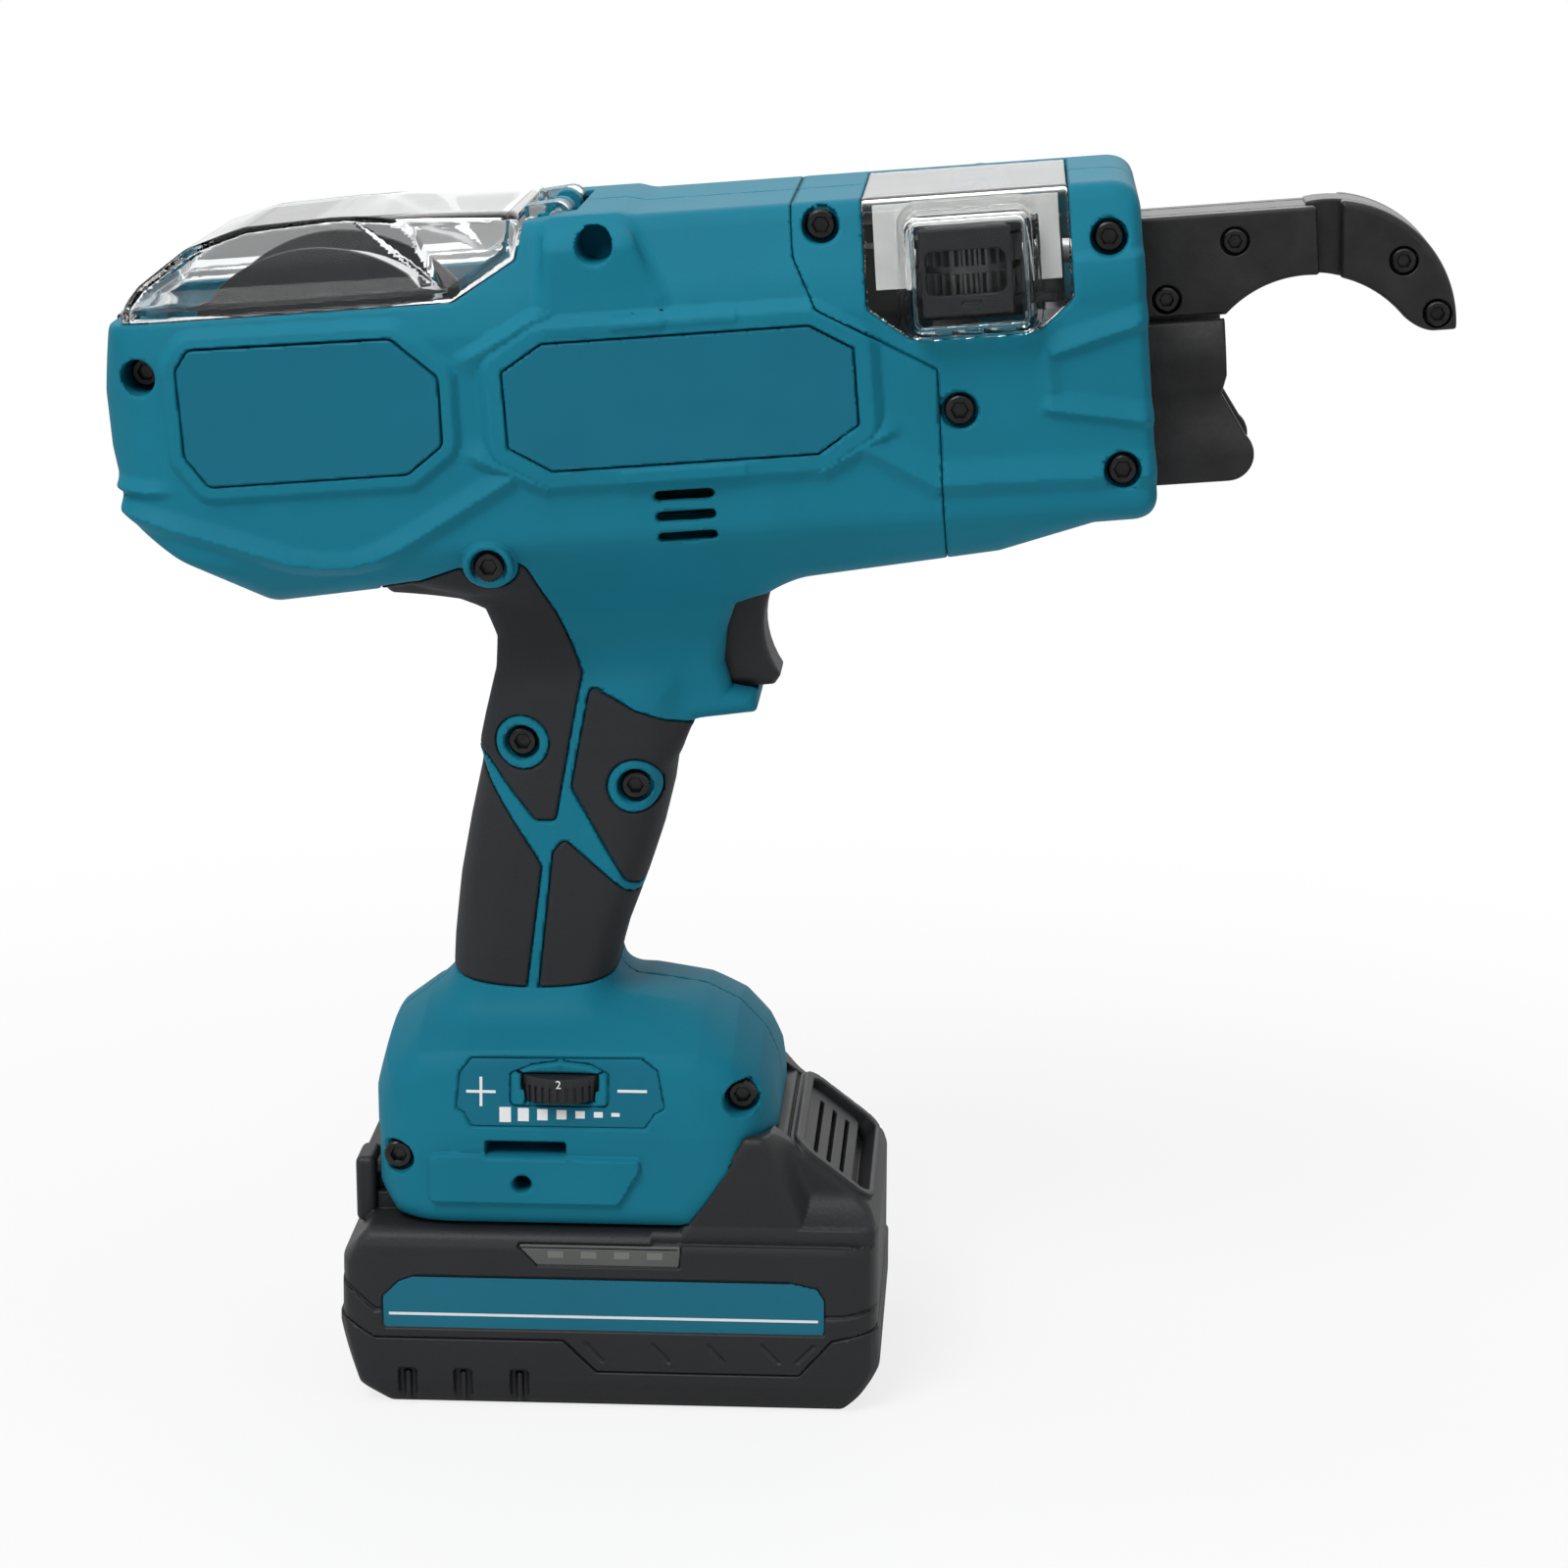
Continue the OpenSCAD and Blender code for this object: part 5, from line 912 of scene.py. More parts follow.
# Arm: a grooved core between two cheeks, with a hooked tip
LOOP_AT = (151.3, 30.5)
LOOP_R = 24.3
TIP_AT = (156.0, 44.0)
TIP_R = 26.0
ARM_X = (103.0, 154.0)
ARM_Z = (47.8, 69.0)
TIP_FRONT = 158.6
TIP_LOW = 41.3
CORE_HALF = 5.5
ARM_HALF = 9.5
CHEEK_GAP = 0.03
ARM_WELL_R = 3.0
ARM_WELL_Y = -7.3
GROOVE_DEPTH = 2
GROOVE_HALF = 1.2
ARM_SCREWS = [(136.8, 63), (122, 51.8), (171.5, 56.5), (178, 45)]


def arm_loop(x, z):
    return LOOP_R - np.hypot(x - LOOP_AT[0], z - LOOP_AT[1])


def tip_outline(x, z):
    foot = rmax(TIP_LOW - z, arm_loop(x, z), 4)
    return rmax(foot, np.hypot(x - TIP_AT[0], z - TIP_AT[1]) - TIP_R, 0.6)


def arm_outline(x, z):
    body = np.maximum(np.maximum(ARM_Z[0] - z, z - ARM_Z[1]), ARM_X[0] - x)
    return np.maximum(body, arm_loop(x, z))


def arm_core(p):
    x, y, z = to_barrel(p)
    body = np.maximum(arm_outline(x, z), x - 157)
    side = np.minimum(body, np.maximum(tip_outline(x, z), 152 - x))
    d = rmax(side, np.abs(y) - CORE_HALF, 0.5)
    groove = np.maximum(-arm_loop(x, z) - GROOVE_DEPTH, np.abs(y) - GROOVE_HALF)
    return less(d, groove, 0.2)


def arm_plate(x, z):
    return rmax(arm_outline(x, z), x - ARM_X[1], 0.8)


def tip_plate(x, z):
    return rmax(tip_outline(x, z), TIP_FRONT + (z - 62) * 0.06 - x, 0.8)


def cheek(side, plate, r):
    """A plate on one side of the core, its outer edge rounded by r, with wells for screws on the right."""
    def f(p):
        x, y, z = to_barrel(p)
        d = rmax(plate(x, z), side * y - ARM_HALF, r)
        d = np.maximum(d, CORE_HALF + CHEEK_GAP - side * y)
        for at in ARM_SCREWS if side < 0 else ():
            well_r = np.hypot(x - at[0], z - at[1]) - ARM_WELL_R
            d = less(d, np.maximum(well_r, y - ARM_WELL_Y), 0.25)
        return d
    return f


# Black holder round the outer feed gear, on its lever
def gear_holder(p):
    x, y, z = to_barrel(p)
    plate = box(x, y, z, (71.8, -36.0, 55.0), (90.6, -34.6, 73), 0.6)
    plate = less(plate, poly(x, z, rect(73, 89.2, 59.4, 68.4), 2), 0.4)
    webs = box(x, y, np.abs(z - 64), (73.2, -35.4, 6.6), (89.8, -26, 8.4), 0.3)
    d = rmin(plate, webs, 0.4)
    return less(d, box(x, y, z, (80, -38, 57), (84, -35.6, 58), 0.2), 0.2)


# Battery, in the tool's own frame
BATTERY_SIDE = [(-47.5, 0), (51.5, 0), (59.6, 9.5), (59.8, 40.5), (57, 45.5), (36, 61.9), (30, 61.9),
                (16, 40.6), (-52, 40.6), (-58.4, 33), (-59, 18), (-54, 5)]
BATTERY_SECTION = both([(33, -0.5), (36.5, 6), (36.5, 37), (33.5, 42), (33, 66)])
BATTERY_PLAN = rect(-59.5, 60.3, -37, 37)
LOWER_CASE = [(-70, -6), (70, -6), (70, 20), (59.6, 19.2), (49.5, 17), (42.3, 8.8), (-2.1, 8.8), (-9.3, 15.9),
              (-50.6, 15.9), (-58.2, 20.4), (-70, 21)]
STEP_LINE = [(-60, 30), (-56.8, 27.7), (-50.4, 22.4), (-48.9, 22.4), (49, 22.5), (52.7, 22.6), (60.4, 24.2)]
LED = [(-14.8, 33.2), (16.2, 33.2), (16.6, 38), (-19.4, 38)]
BAND_SHAPE = [(-48.8, 18.2), (47.8, 18.2), (47.8, 26.4), (46.2, 29), (40, 30.4), (-41.5, 30.4), (-45.2, 29),
              (-48.8, 25.4)]
NOTCHES = [-43.6, -31.4, -19]
SLASHES = [((-4.4, 15.4), (-0.8, 11.6)), ((10.3, 15.4), (13.7, 11.6)), ((22.6, 15.4), (25.8, 11.8)),
           ((34.3, 15.6), (37.8, 12)), ((45.4, 15.8), (41.9, 12))]
BUTTON_AT = (48.8, 52.0)
BUTTON_LEAN = math.atan2(13, 59.8 - 2.8 - 38 - 2.4)
BASE_GAP = 0.4

# Release button along its slope and across: the rim round it, its pocket, its plate and the plate's grooves
BUTTON_RIM = rect(-10.8, 11.2, -26, 26)
BUTTON_POCKET = rect(-8.4, 9.6, -23.4, 23.4)
BUTTON_PLATE = rect(-8, 6.2, -23, 23)
BUTTON_GROOVES = (-4.2, -0.6, 3.0)

# Slots for the contacts, and walls of the battery's two cases
CONTACT_SLOTS = (-10, -5, 0, 5, 10)
UPPER_WALL = 2.4
LOWER_WALL = 3.4
LOWER_FLOOR = 3.0


def battery_form(x, y, z):
    side = poly(x, z, BATTERY_SIDE, 1.6)
    section = poly(y, z, BATTERY_SECTION, 2)
    plan = poly(x, y, BATTERY_PLAN, 10)
    d = rmax(rmax(side, section, 2), plan, 2.5)
    m = (z > 38) & (x > 10)
    if m.any():
        xm, zm = x[m], z[m]
        beside = soft((37.2 + (58.5 - zm) / 2.4 - xm + 3) / 6)
        foot = np.clip((48.5 - zm) / 7, 0, 1) ** 2
        flank = 26.4 + 7.2 * np.maximum(beside, foot)
        dm = rmax(d[m], (np.abs(y[m]) - flank) * 0.85, 1.6)
        d[m] = np.maximum(dm, BASE_GAP - base_form(xm, y[m], zm))
    return d


def battery_relief(x, z):
    """Steps, grooves and recesses of the battery's long sides."""
    h = np.zeros(x.shape, F32)
    d = poly(x, z, LOWER_CASE)
    h += 0.7 * soft(0.5 - d / 0.5)
    edge = line(x, z, STEP_LINE)[0]
    h -= 0.7 * soft(1.2 - edge / 0.5)
    above = np.interp(x, [q[0] for q in STEP_LINE], [q[1] for q in STEP_LINE])
    h += 0.35 * soft((above - z) / 0.8) * soft((d + 0.2) / 0.6)
    h -= 0.8 * soft(0.5 - (poly(x, z, BAND_SHAPE, 0.8) - 0.1) / 0.3)
    h -= 1.1 * soft(0.5 - (poly(x, z, LED, 0.4) - 0.15) / 0.3)
    for a, b in SLASHES:
        near = line(x, z, [a, b])[0]
        h -= 0.6 * soft(1.3 - near / 0.5)
    return h


def battery_outer(x, y, z):
    d = battery_form(x, y, z)
    m = (np.abs(d) < 6) & (np.abs(y) > 24) & (z < 44)
    if m.any():
        d[m] = d[m] - battery_relief(x[m], z[m]) * soft((np.abs(y[m]) - 28) / 5)
    end = (np.abs(d) < 6) & (np.abs(y) <= 34) & (z < 40)
    if end.any():
        lower = soft(0.5 - poly(x[end], z[end], LOWER_CASE) / 0.5)
        near_end = soft((34 - np.abs(y[end])) / 5) * soft((np.abs(x[end]) - 52) / 4)
        d[end] = d[end] - 0.7 * lower * near_end
    for at in NOTCHES:
        cut = box(x, np.abs(y), z, (at - 2, 34.6, -5), (at + 2, 60, 9), 0.8)
        d = less(d, cut, 0.5)
        d = np.minimum(d, box(x, np.abs(y), z, (at - 0.6, 33, 1.5), (at + 0.6, 35.6, 8), 0.3))
    return d


def to_button(x, z):
    """Along the release button's slope and out of it."""
    c, s = math.cos(BUTTON_LEAN), math.sin(BUTTON_LEAN)
    u = (x - BUTTON_AT[0]) * c - (z - BUTTON_AT[1]) * s
    v = (x - BUTTON_AT[0]) * s + (z - BUTTON_AT[1]) * c
    return u, v


def battery_top(p):
    x, y, z = p.T
    d = battery_outer(x, y, z)
    u, v = to_button(x, z)
    rim = rmax(poly(u, y, BUTTON_RIM, 5), np.abs(v) - 1.1, 0.5)
    d = rmin(d, np.maximum(rim, -(d + 6)), 0.5)
    pocket = np.maximum(poly(u, y, BUTTON_POCKET, 3.4), -4.4 - v)
    d = less(d, pocket, 0.4)
    d = np.maximum(d, BASE_GAP - base_form(x, y, z))
    block = box(x, y, z, (-55.1, -22, 38.4), (39, 22, 59.6), 0.6)
    block = np.maximum(block, z - np.where(x < -50, 51.5, 60))
    groove = box(x, np.abs(y), z, (-70, 19, 44.6), (35.4, 30, 48.6), 0)
    trench = box(x, y, z, (-70, -14, 50), (-8, 14, 70), 0)
    block = np.maximum(block, -groove)
    block = np.maximum(block, -trench)
    for at in CONTACT_SLOTS:
        block = np.maximum(block, -box(x, y, z, (-9, at - 0.9, 51), (8, at + 0.9, 70), 0))
    rear = box(x, y, z, (-56, -24, 38), (-51.5, 24, 53), 1.5)
    block = np.minimum(block, np.maximum(rear, -trench))
    d = np.where(z < 41, d, np.maximum(d, -np.maximum(np.abs(y) - 22, np.maximum(x - 39.4, 40.6 - z))))
    d = np.minimum(d, np.maximum(block, 36 - z))
    hollow = np.maximum(battery_form(x, y, z) + UPPER_WALL, z - 36)
    d = np.maximum(d, -hollow)
    return np.maximum(d, -(poly(x, z, LOWER_CASE) - 0.05))


def battery_bottom(p):
    x, y, z = p.T
    d = battery_outer(x, y, z)
    d = np.maximum(d, -np.maximum(battery_form(x, y, z) + LOWER_WALL, LOWER_FLOOR - z))
    return rmax(d, poly(x, z, LOWER_CASE), 0.3)


def battery_button(p):
    x, y, z = p.T
    u, v = to_button(x, z)
    d = rmax(poly(u, y, BUTTON_PLATE, 3), v + 0.9, 0.5)
    for at in BUTTON_GROOVES:
        groove = np.hypot(u - at, np.maximum(np.abs(y) - 16.5, 0)) - 0.55
        lean = (v + 2.4) * 0.7 - np.clip(at - u, -1, 1)
        d = less(d, np.maximum(groove, -lean), 0.15)
    return np.maximum(d, -4 - v)


def side_film(shape, depth, thick, form, r=0.8):
    """A thin film lying depth under a form's own surface."""
    def f(p):
        x, y, z = p.T
        skin = form(x, y, z)
        d = np.maximum(np.maximum(skin + depth, -(skin + depth + thick)), y + 18)
        return np.maximum(d, poly(x, z, shape, r))
    return f


def torque_film(p):
    x, y, z = p.T
    d = side_film(inset(PANEL, 0.25), 0.5, 0.6, base_form)(p)
    return np.maximum(d, 0.35 - poly(x, z, BEZEL, 0.8))


def barrel_films(p):
    """Label films of one side of the barrel."""
    x, y, z = to_barrel(p)
    centre = np.maximum(poly(x, z, inset(CENTRE_LABEL, 0.06)), np.abs(np.abs(y) - 38.5) - 0.4)
    rear = np.maximum(poly(x, z, inset(REAR_LABEL, 0.06), 2), np.abs(np.abs(y) - 38.1) - 0.4)
    rear = np.where(y > 0, np.maximum(rear, 9 - np.hypot(x - SPOOL_AT[0], z - SPOOL_AT[1])), rear)
    return np.minimum(centre, rear)


piece("rear_cover_clear", rear_cover, (-108, -41, 230), (4, 41, 268), 0.6, 150000, CLEAR, "rear_cover",
      ["rear_cover"])
piece("rear_cover_arms", cover_arms, (-18, -19, 252), (0, 19, 266), 0.35, 40000, CLEAR_ARM, "rear_cover",
      ["rear_cover"])
piece("feed_window_clear", feed_window, (50, -45, 228), (102, 25, 270), 0.5, 150000, CLEAR, "frame",
      ["feed_window"])
for side, tag in SIDES:
    y0, y1 = (-36, 1) if side < 0 else (-1, 36)
    node = "grip_pads_" + tag
    piece(node + "_skin", grip_pads(side), (-62, y0, 86), (36, y1, 192), 0.5, 120000, RUBBER, "frame", [node])
piece("trigger_shape", trigger, (12, -11, 148), (40, 11, 184), 0.4, 60000, BLACK, "trigger", ["trigger"])
piece("lower_guide_shape", lower_guide, (106, -17, 196), (142, 17, 242), 0.4, 120000, OXIDE, "frame",
      ["lower_guide"])
piece("arm_core_shape", arm_core, (94, -7, 224), (184, 7, 268), 0.5, 80000, OXIDE, "frame", ["arm_core"])
for side, tag in SIDES:
    y0, y1 = (-11, -4) if side < 0 else (4, 11)
    for node, plate, r, lo, hi, cell in (
            ("arm_cheek_" + tag, arm_plate, 0.8, (94, y0, 230), (156, y1, 266), 0.4),
            ("tip_cheek_" + tag, tip_plate, 1.6, (150, y0, 228), (184, y1, 268), 0.35)):
        piece(node + "_shape", cheek(side, plate, r), lo, hi, cell, 60000, OXIDE, "frame", [node])
piece("gear_holder_shape", gear_holder, (64, -38, 238), (92, -24, 266), 0.35, 40000, BLACK, "idler_lever", [])
piece("battery_top_shape", battery_top, (-62, -40, 6), (63, 40, 69), 0.6, 170000, BLACK, "battery",
      ["battery_top"])
piece("battery_bottom_shape", battery_bottom, (-62, -40, -2), (63, 40, 24), 0.6, 120000, BLACK, "battery",
      ["battery_bottom"])
piece("battery_button_shape", battery_button, (36, -25, 36), (62, 25, 64), 0.3, 80000, BLACK,
      "battery_button", ["battery_button"])
band = side_film(inset(BAND_SHAPE, 0.1), 0.2, 0.5, battery_form)
piece("battery_band_film", band, (-51, -39, 16), (50, -34, 33), 0.35, 40000, BAND, "battery",
      ["battery_trim"])
led = side_film(inset(LED, 0.1), 0.5, 0.5, battery_form, 0.4)
piece("battery_led_window", led, (-22, -39, 31), (19, -32, 40), 0.35, 30000, LED_COVER, "battery",
      ["battery_trim"])
piece("torque_panel_film", torque_film, (-35, -38, 61), (16, -25, 82), 0.35, 60000, LABEL, "frame",
      ["label_plates"])
for side, tag in SIDES:
    y0, y1 = (-40, -36) if side < 0 else (36, 40)
    piece("barrel_films_" + tag, barrel_films, (-92, y0, 200), (64, y1, 245), 0.5, 60000, LABEL, "frame",
          ["label_plates"])


# Wound wire, one unbroken tube each
def tube(name, path, radius, sides, material, body, node):
    path = np.array(path)
    along = np.gradient(path, axis=0)
    along /= np.linalg.norm(along, axis=1)[:, None]
    up = np.zeros_like(along)
    ref = np.array([0.3, 0.9, 0.2])
    for i, t in enumerate(along):
        ref = ref - t * (ref @ t)
        ref = ref / np.linalg.norm(ref)
        up[i] = ref
    across = np.cross(along, up)
    turn = np.arange(sides) * 2 * math.pi / sides
    c, s = np.cos(turn)[None, :, None], np.sin(turn)[None, :, None]
    ring = (c * up[:, None] + s * across[:, None]) * radius
    verts = (path[:, None] + ring).reshape(-1, 3)
    n = len(path)
    i = np.arange(n - 1)[:, None] * sides
    j = np.arange(sides)[None]
    k = (j + 1) % sides
    quads = np.stack([i + j, i + k, i + sides + k, i + sides + j], -1).reshape(-1, 4)
    faces = [tuple(q) for q in quads.tolist()]
    faces.append(tuple(range(sides - 1, -1, -1)))
    faces.append(tuple(range((n - 1) * sides, n * sides)))
    ob = faceted(name, verts.tolist(), faces)
    ob.data.polygons.foreach_set("use_smooth", np.ones(len(ob.data.polygons), bool))
    dress(ob, material, body, [node])
    return ob


def from_barrel(x, y, z):
    return (x * COS - z * SIN, y, LIFT + x * SIN + z * COS)


WIND_R = 28.2
WIND_HALF = 14.0
WIND_TURNS = 30
WIND_RINGS = 48
winding = []
for i in range(WIND_TURNS * WIND_RINGS + 1):
    t = i / WIND_RINGS
    a = 2 * math.pi * t
    winding.append(from_barrel(SPOOL_AT[0] + WIND_R * math.cos(a), WIND_HALF * (2 * t / WIND_TURNS - 1),
                               SPOOL_AT[1] + WIND_R * math.sin(a)))
tube("wire_winding", winding, 0.4, 6, STEEL, "spool", "wire_coil")


def wire_core(p):
    """Inner layers of wire under the outer winding."""
    x, y, z = to_barrel(p)
    r = np.hypot(x - SPOOL_AT[0], z - SPOOL_AT[1])
    ripple = 0.12 * np.cos(y * F32(2 * math.pi * WIND_TURNS / (2 * WIND_HALF)))
    return np.maximum(np.maximum(r - 27.5 - ripple, 13.2 - r), np.abs(y) - 14.6)


piece("wire_inner_layers", wire_core, (-90, -16, 184), (-28, 16, 256), 0.5, 60000, STEEL, "spool",
      ["wire_coil"])

SPRING_FROM = 6.5
SPRING_TO = 14.5
SPRING_Z = -12.5
SPRING_R = 2.15
SPRING_CURLS = 6
CURL_RINGS = 20
spring = []
for i in range(SPRING_CURLS * CURL_RINGS + 1):
    t = i / (SPRING_CURLS * CURL_RINGS)
    a = 2 * math.pi * SPRING_CURLS * t
    spring.append(from_barrel(SPRING_FROM + 0.4 + (SPRING_TO - SPRING_FROM - 0.8) * t, SPRING_R * math.sin(a),
                              SPRING_Z + SPRING_R * math.cos(a)))
coil = tube("trigger_return_spring", spring, 0.35, 8, STEEL, "frame", "trigger_spring")
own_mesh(coil)


# Cap screws with knurled heads and six-sided sockets
HEAD_R = 3.3
ARM_HEAD_R = 2.75
HEAD_H = 2.0
SHANK_R = 1.5
THREAD_L = 10.0
FRAME_HALF = 26.0


def cap_screws(name, places, node, head):
    """Each place is the middle of the head's face, the side it looks to, and the screw's length."""
    sides = 48
    turn = np.arange(sides) * 2 * math.pi / sides
    hexagon = 1 / np.cos(np.mod(turn, math.pi / 3) - math.pi / 6)
    knurl = 1 - 0.05 * (np.arange(sides) % 2)
    even = np.ones(sides)
    verts, faces = [], []
    for (x, y, z), look, length in places:
        rings = [(0.42 * head * hexagon, 1.6), (0.44 * head * hexagon, 0.25), (0.5 * head * hexagon, 0.0),
                 (0.8 * head * even, 0.0), (0.9 * head * even, 0.25), (head * knurl, 0.6),
                 (head * knurl, HEAD_H), (SHANK_R * even, HEAD_H), (SHANK_R * even, length)]
        at = len(verts)
        for r, depth in rings:
            for i in range(sides):
                c, s = math.cos(turn[i]), math.sin(turn[i])
                verts.append((x + look * r[i] * c, y - look * depth, z + r[i] * s))
        faces.append(tuple(at + i for i in range(sides)))
        last = at + (len(rings) - 1) * sides
        faces.append(tuple(last + i for i in range(sides - 1, -1, -1)))
        for k in range(len(rings) - 1):
            for i in range(sides):
                j = (i + 1) % sides
                a, b = at + k * sides, at + (k + 1) * sides
                faces.append((a + i, b + i, b + j, a + j))
    dress(faceted(name, verts, faces), SCREW, "frame", [node])


def clamp(s, face, put):
    top = face - s[2] + HEAD_H
    return put(s[0], -top, s[1]), -1, top + THREAD_L - 1


def plain(x, y, z):
    return x, y, z


places = [clamp(s, barrel_face(s), from_barrel) for s in CLAMP_SCREWS + HEAD_CLAMP]
places += [clamp(s, GRIP_FACE, plain) for s in GRIP_SCREWS]
places += [clamp(BASE_SCREWS[1], BASE_FACE, plain)]
places += [((BASE_SCREWS[0][0], -28.5, BASE_SCREWS[0][1]), -1, 6.0)]
for s in FRAME_SCREWS:
    top = barrel_face(s) - s[2] + HEAD_H
    for look in (-1, 1):
        places.append((from_barrel(s[0], look * top, s[1]), look, top - FRAME_HALF + 5))
cap_screws("housing_cap_screws", places, "housing_screws", HEAD_R)
places = [(from_barrel(x, -ARM_HALF - 0.3, z), -1, 18.0) for x, z in ARM_SCREWS]
cap_screws("arm_cap_screws", places, "arm_screws", ARM_HEAD_R)


# Printed marks: thin flat prisms lying on a surface of the near side
def skin_y(form, x, z, depth):
    lo, hi = -48.0, -12.0
    for _ in range(40):
        mid = (lo + hi) / 2
        d = form(np.array([x], F32), np.array([mid], F32), np.array([z], F32))[0] + depth
        if d > 0:
            lo = mid
        else:
            hi = mid
    return (lo + hi) / 2


def marks(name, shapes, form, depth, body, material, thick=0.12):
    verts, faces = [], []
    for pts in shapes:
        n = len(pts)
        at = len(verts)
        ys = [skin_y(form, x, z, depth) for x, z in pts]
        verts += [(x, y - thick / 2, z) for (x, z), y in zip(pts, ys)]
        verts += [(x, y + thick / 2, z) for (x, z), y in zip(pts, ys)]
        faces.append(tuple(range(at, at + n)))
        faces.append(tuple(range(at + 2 * n - 1, at + n - 1, -1)))
        for i in range(n):
            j = (i + 1) % n
            faces.append((at + i, at + n + i, at + n + j, at + j))
    dress(faceted(name, verts, faces), material, body, ())


BAR_LEFTS = (-22.8, -18.8, -14.6, -10.4, -6.3, -2.3, 1.5)
scale_marks = [rect(-30, -23.6, 71.2, 71.8), rect(-27.1, -26.5, 68.3, 74.7), rect(2.8, 9.2, 71.8, 72.4)]
for i, left in enumerate(BAR_LEFTS):
    t = i / 6
    scale_marks.append(rect(left, left + 2.5 - 0.7 * t, 64.9 + 1.6 * t, 68.2 - 0.9 * t))
marks("torque_scale_marks", scale_marks, base_form, 0.5, "frame", WHITE)
pointer = [(-10.4, 77.5), (-8.8, 77.5), (-9.6, 76.6)]
marks("torque_pointer", [pointer], base_form, -0.5, "frame", LABEL)
marks("band_line", [rect(-47.4, 46.4, 21.2, 21.8)], battery_form, 0.2, "battery", WHITE)
leds = [rect(at, at + 3.4, 35, 36.6) for at in (-12.4, -5.2, 2, 9.2)]
marks("battery_leds", leds, battery_form, 0.5, "battery", LED_DOT)

# The dial's number, just proud of its rim
DIGIT_Y = -35.43
DIGIT_FOOT = 73.6
font = bpy.data.curves.new("dial_number", "FONT")
font.body = "2"
font.size = 2.6 * MM
font.extrude = 0.05 * MM
font.align_x = "CENTER"
text = add_object("dial_number_curve", font)
depsgraph = bpy.context.evaluated_depsgraph_get()
number = bpy.data.meshes.new_from_object(text.evaluated_get(depsgraph))
bpy.data.objects.remove(text)
co = coords(number)
co = np.stack([co[:, 0] + DIAL_AT[0], DIGIT_Y - co[:, 2], co[:, 1] + DIGIT_FOOT], 1)
number.vertices.foreach_set("co", (co * MM).astype(F32).ravel())
dress(add_object("dial_number", number), WHITE, "torque_dial", ())

# Finishes of the solids that stay as they are
FINISHES = [
    (STEEL, ["cover_hinge_pin", "lever_axles", "spool_axle", "twist_motor", "planet_gear_1", "planet_gear_2",
             "planet_gear_3", "twist_shaft", "jaw_pins", "shaft_bearing", "feed_motor", "wire_nozzles",
             "torque_pot"]),
    (BLACK, ["cover_latch", "wire_spool", "spool_lock", "feed_gearbox", "idler_lever", "clutch_button",
             "trigger_switch", "torque_dial", "tool_terminals"]),
    (GEAR, ["ring_gear", "hook_jaw_upper", "hook_jaw_lower", "jaw_sleeve", "cutter_lever", "feed_drive_gear",
            "feed_idler_gear"]),
    (ALLOY, ["bearing_block", "head_frame"]),
    (BOARD, ["control_board", "battery_board"]),
    (BRASS, ["motor_pinion"]),
    (SATIN, ["feed_bracket"]),
    (WRAP, ["battery_cells"]),
]
BEVELS = {"torque_dial": 0.2, "spool_lock": 0.5, "clutch_button": 0.5,
          "cover_latch": 0.5, "idler_lever": 0.3, "feed_bracket": 0.2, "wire_spool": 0.3}
for finish, name in [(m, n) for m, names in FINISHES for n in names]:
    ob = NODES[name]
    ob.data.materials.clear()
    ob.data.materials.append(finish)
    if name in BEVELS:
        weld = ob.modifiers.new("weld", "WELD")
        weld.merge_threshold = 0.000002
        bevel = ob.modifiers.new("bevel", "BEVEL")
        bevel.width = BEVELS[name] * MM
        bevel.segments = 2
        bevel.limit_method = "ANGLE"
        bevel.angle_limit = math.radians(40)
        bevel.harden_normals = True

# Floor, light and camera
bpy.ops.mesh.primitive_plane_add(size=6, location=(0, 0, 0))
floor = bpy.context.object
floor.name = "floor"


def mix_shaders(tree, share, first, second, output):
    """Shows the second shader by share, and the first one otherwise."""
    mix = add_node(tree, "MixShader")
    for i, socket in enumerate((share, first.outputs[0], second.outputs[0])):
        tree.links.new(socket, mix.inputs[i])
    tree.links.new(mix.outputs[0], tree.nodes[output].inputs["Surface"])


def combine(tree, operation, first, second):
    node = add_node(tree, "Math")
    node.operation = operation
    tree.links.new(first, node.inputs[0])
    tree.links.new(second, node.inputs[1])
    return node.outputs[0]


# White to the camera, in reflections and through clear plastic, and dim light to everything else
world = bpy.data.worlds.new("studio")
bpy.context.scene.world = world
world.use_nodes = True
tree = world.node_tree
dim = set_inputs(tree.nodes["Background"], Color=(1, 1, 1, 1), Strength=0.185)
bright = add_node(tree, "Background", Color=(1, 1, 1, 1), Strength=1.0)
path = add_node(tree, "LightPath").outputs
seen = combine(tree, "MAXIMUM", path["Is Camera Ray"], path["Is Transmission Ray"])
shown = combine(tree, "MAXIMUM", seen, path["Is Glossy Ray"])
mix_shaders(tree, shown, dim, bright, "World Output")

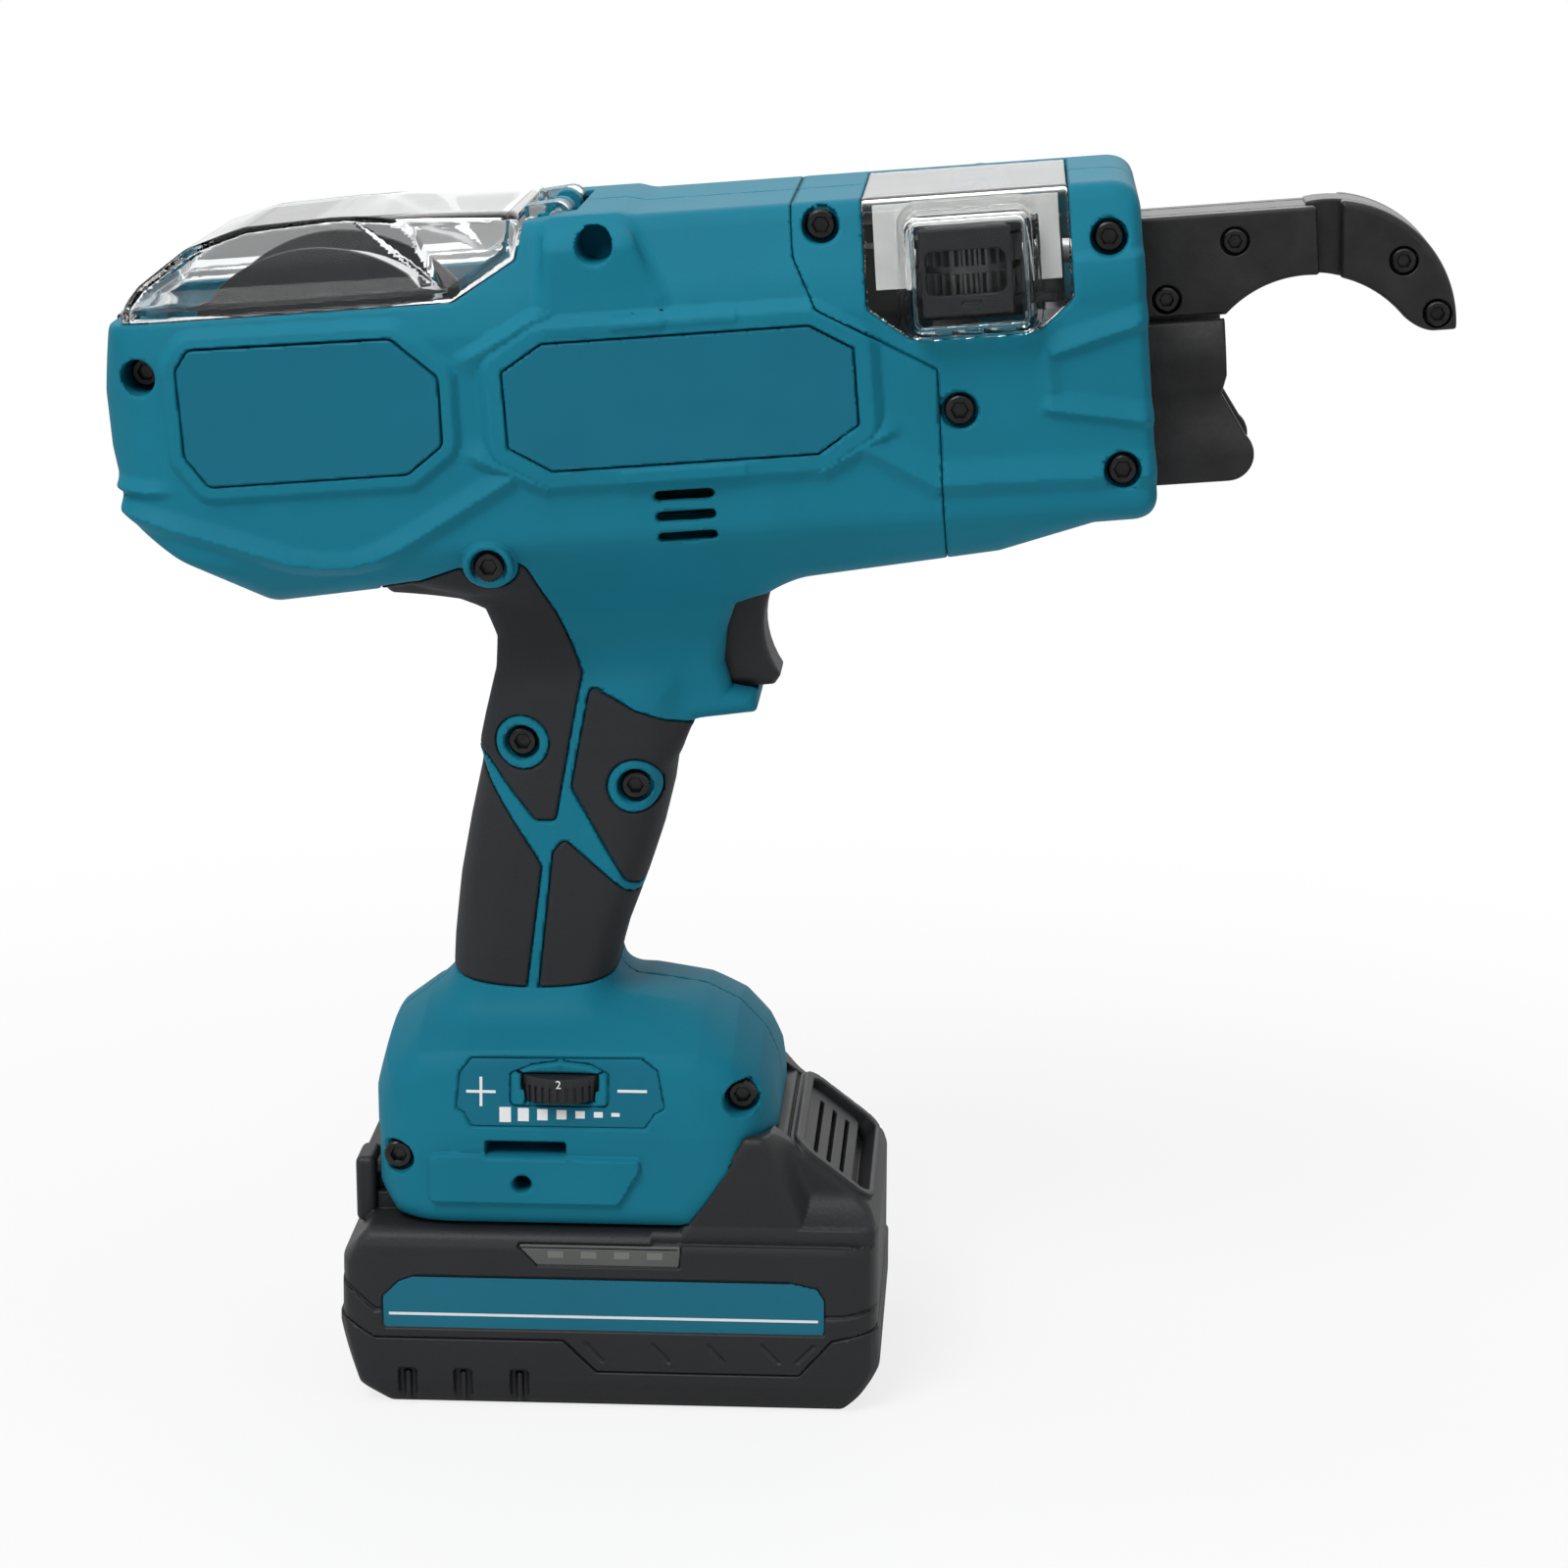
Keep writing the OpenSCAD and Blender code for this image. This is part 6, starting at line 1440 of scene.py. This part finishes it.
# White paper that keeps the shadow near the tool
paper, tree, bsdf = new_material("paper")
set_inputs(bsdf, Base_Color=(0.86, 0.86, 0.86, 1), Roughness=0.9)
glow = add_node(tree, "Emission", Strength=1.0)
path = add_node(tree, "LightPath").outputs
reach = add_node(tree, "VectorMath")
reach.operation = "LENGTH"
tree.links.new(add_node(tree, "TexCoord").outputs["Object"], reach.inputs[0])
fade = add_node(tree, "MapRange", From_Min=0.12, From_Max=0.5, To_Min=0.8)
fade.interpolation_type = "SMOOTHSTEP"
tree.links.new(reach.outputs["Value"], fade.inputs["Value"])
seen = combine(tree, "MULTIPLY", path["Is Camera Ray"], fade.outputs["Result"])
mix_shaders(tree, seen, bsdf, glow, "Material Output")
floor.data.materials.append(paper)


LOOK = (0.03, 0, 0.15)


def lamp(name, at, look, size, power):
    data = bpy.data.lights.new(name, "AREA")
    data.energy = power
    data.shape = "RECTANGLE"
    data.size, data.size_y = size
    ob = add_object(name, data)
    ob.location = at
    away = np.array(at) - np.array(look)
    away = away / np.linalg.norm(away)
    ob.rotation_euler = (math.acos(away[2]), 0, math.atan2(away[0], -away[1]))


lamp("key", (-0.45, -0.8, 1.2), LOOK, (0.7, 0.7), 13)
lamp("fill", (0.9, -0.9, 0.5), LOOK, (0.8, 0.8), 0.6)
lamp("top", (0.05, 0.0, 1.3), (0.05, 0, 0.15), (1.2, 0.8), 4.5)
lamp("back", (0.2, 1.1, 0.8), LOOK, (1.0, 0.8), 3)

camera = bpy.data.cameras.new("camera")
camera.lens = 94.5
camera.sensor_width = 36
camera.clip_start = 0.01
eye = add_object("camera", camera)
AIM = (0.037, 0, 0.1328)
AZIMUTH = math.radians(3.2)
ELEVATION = math.radians(14.5)
DISTANCE = 0.9013
eye.location = (AIM[0] + DISTANCE * math.sin(AZIMUTH) * math.cos(ELEVATION),
                -DISTANCE * math.cos(AZIMUTH) * math.cos(ELEVATION), AIM[2] + DISTANCE * math.sin(ELEVATION))
eye.rotation_euler = (math.pi / 2 - ELEVATION, 0, AZIMUTH)
bpy.context.scene.camera = eye
bpy.context.scene.view_settings.view_transform = "Standard"
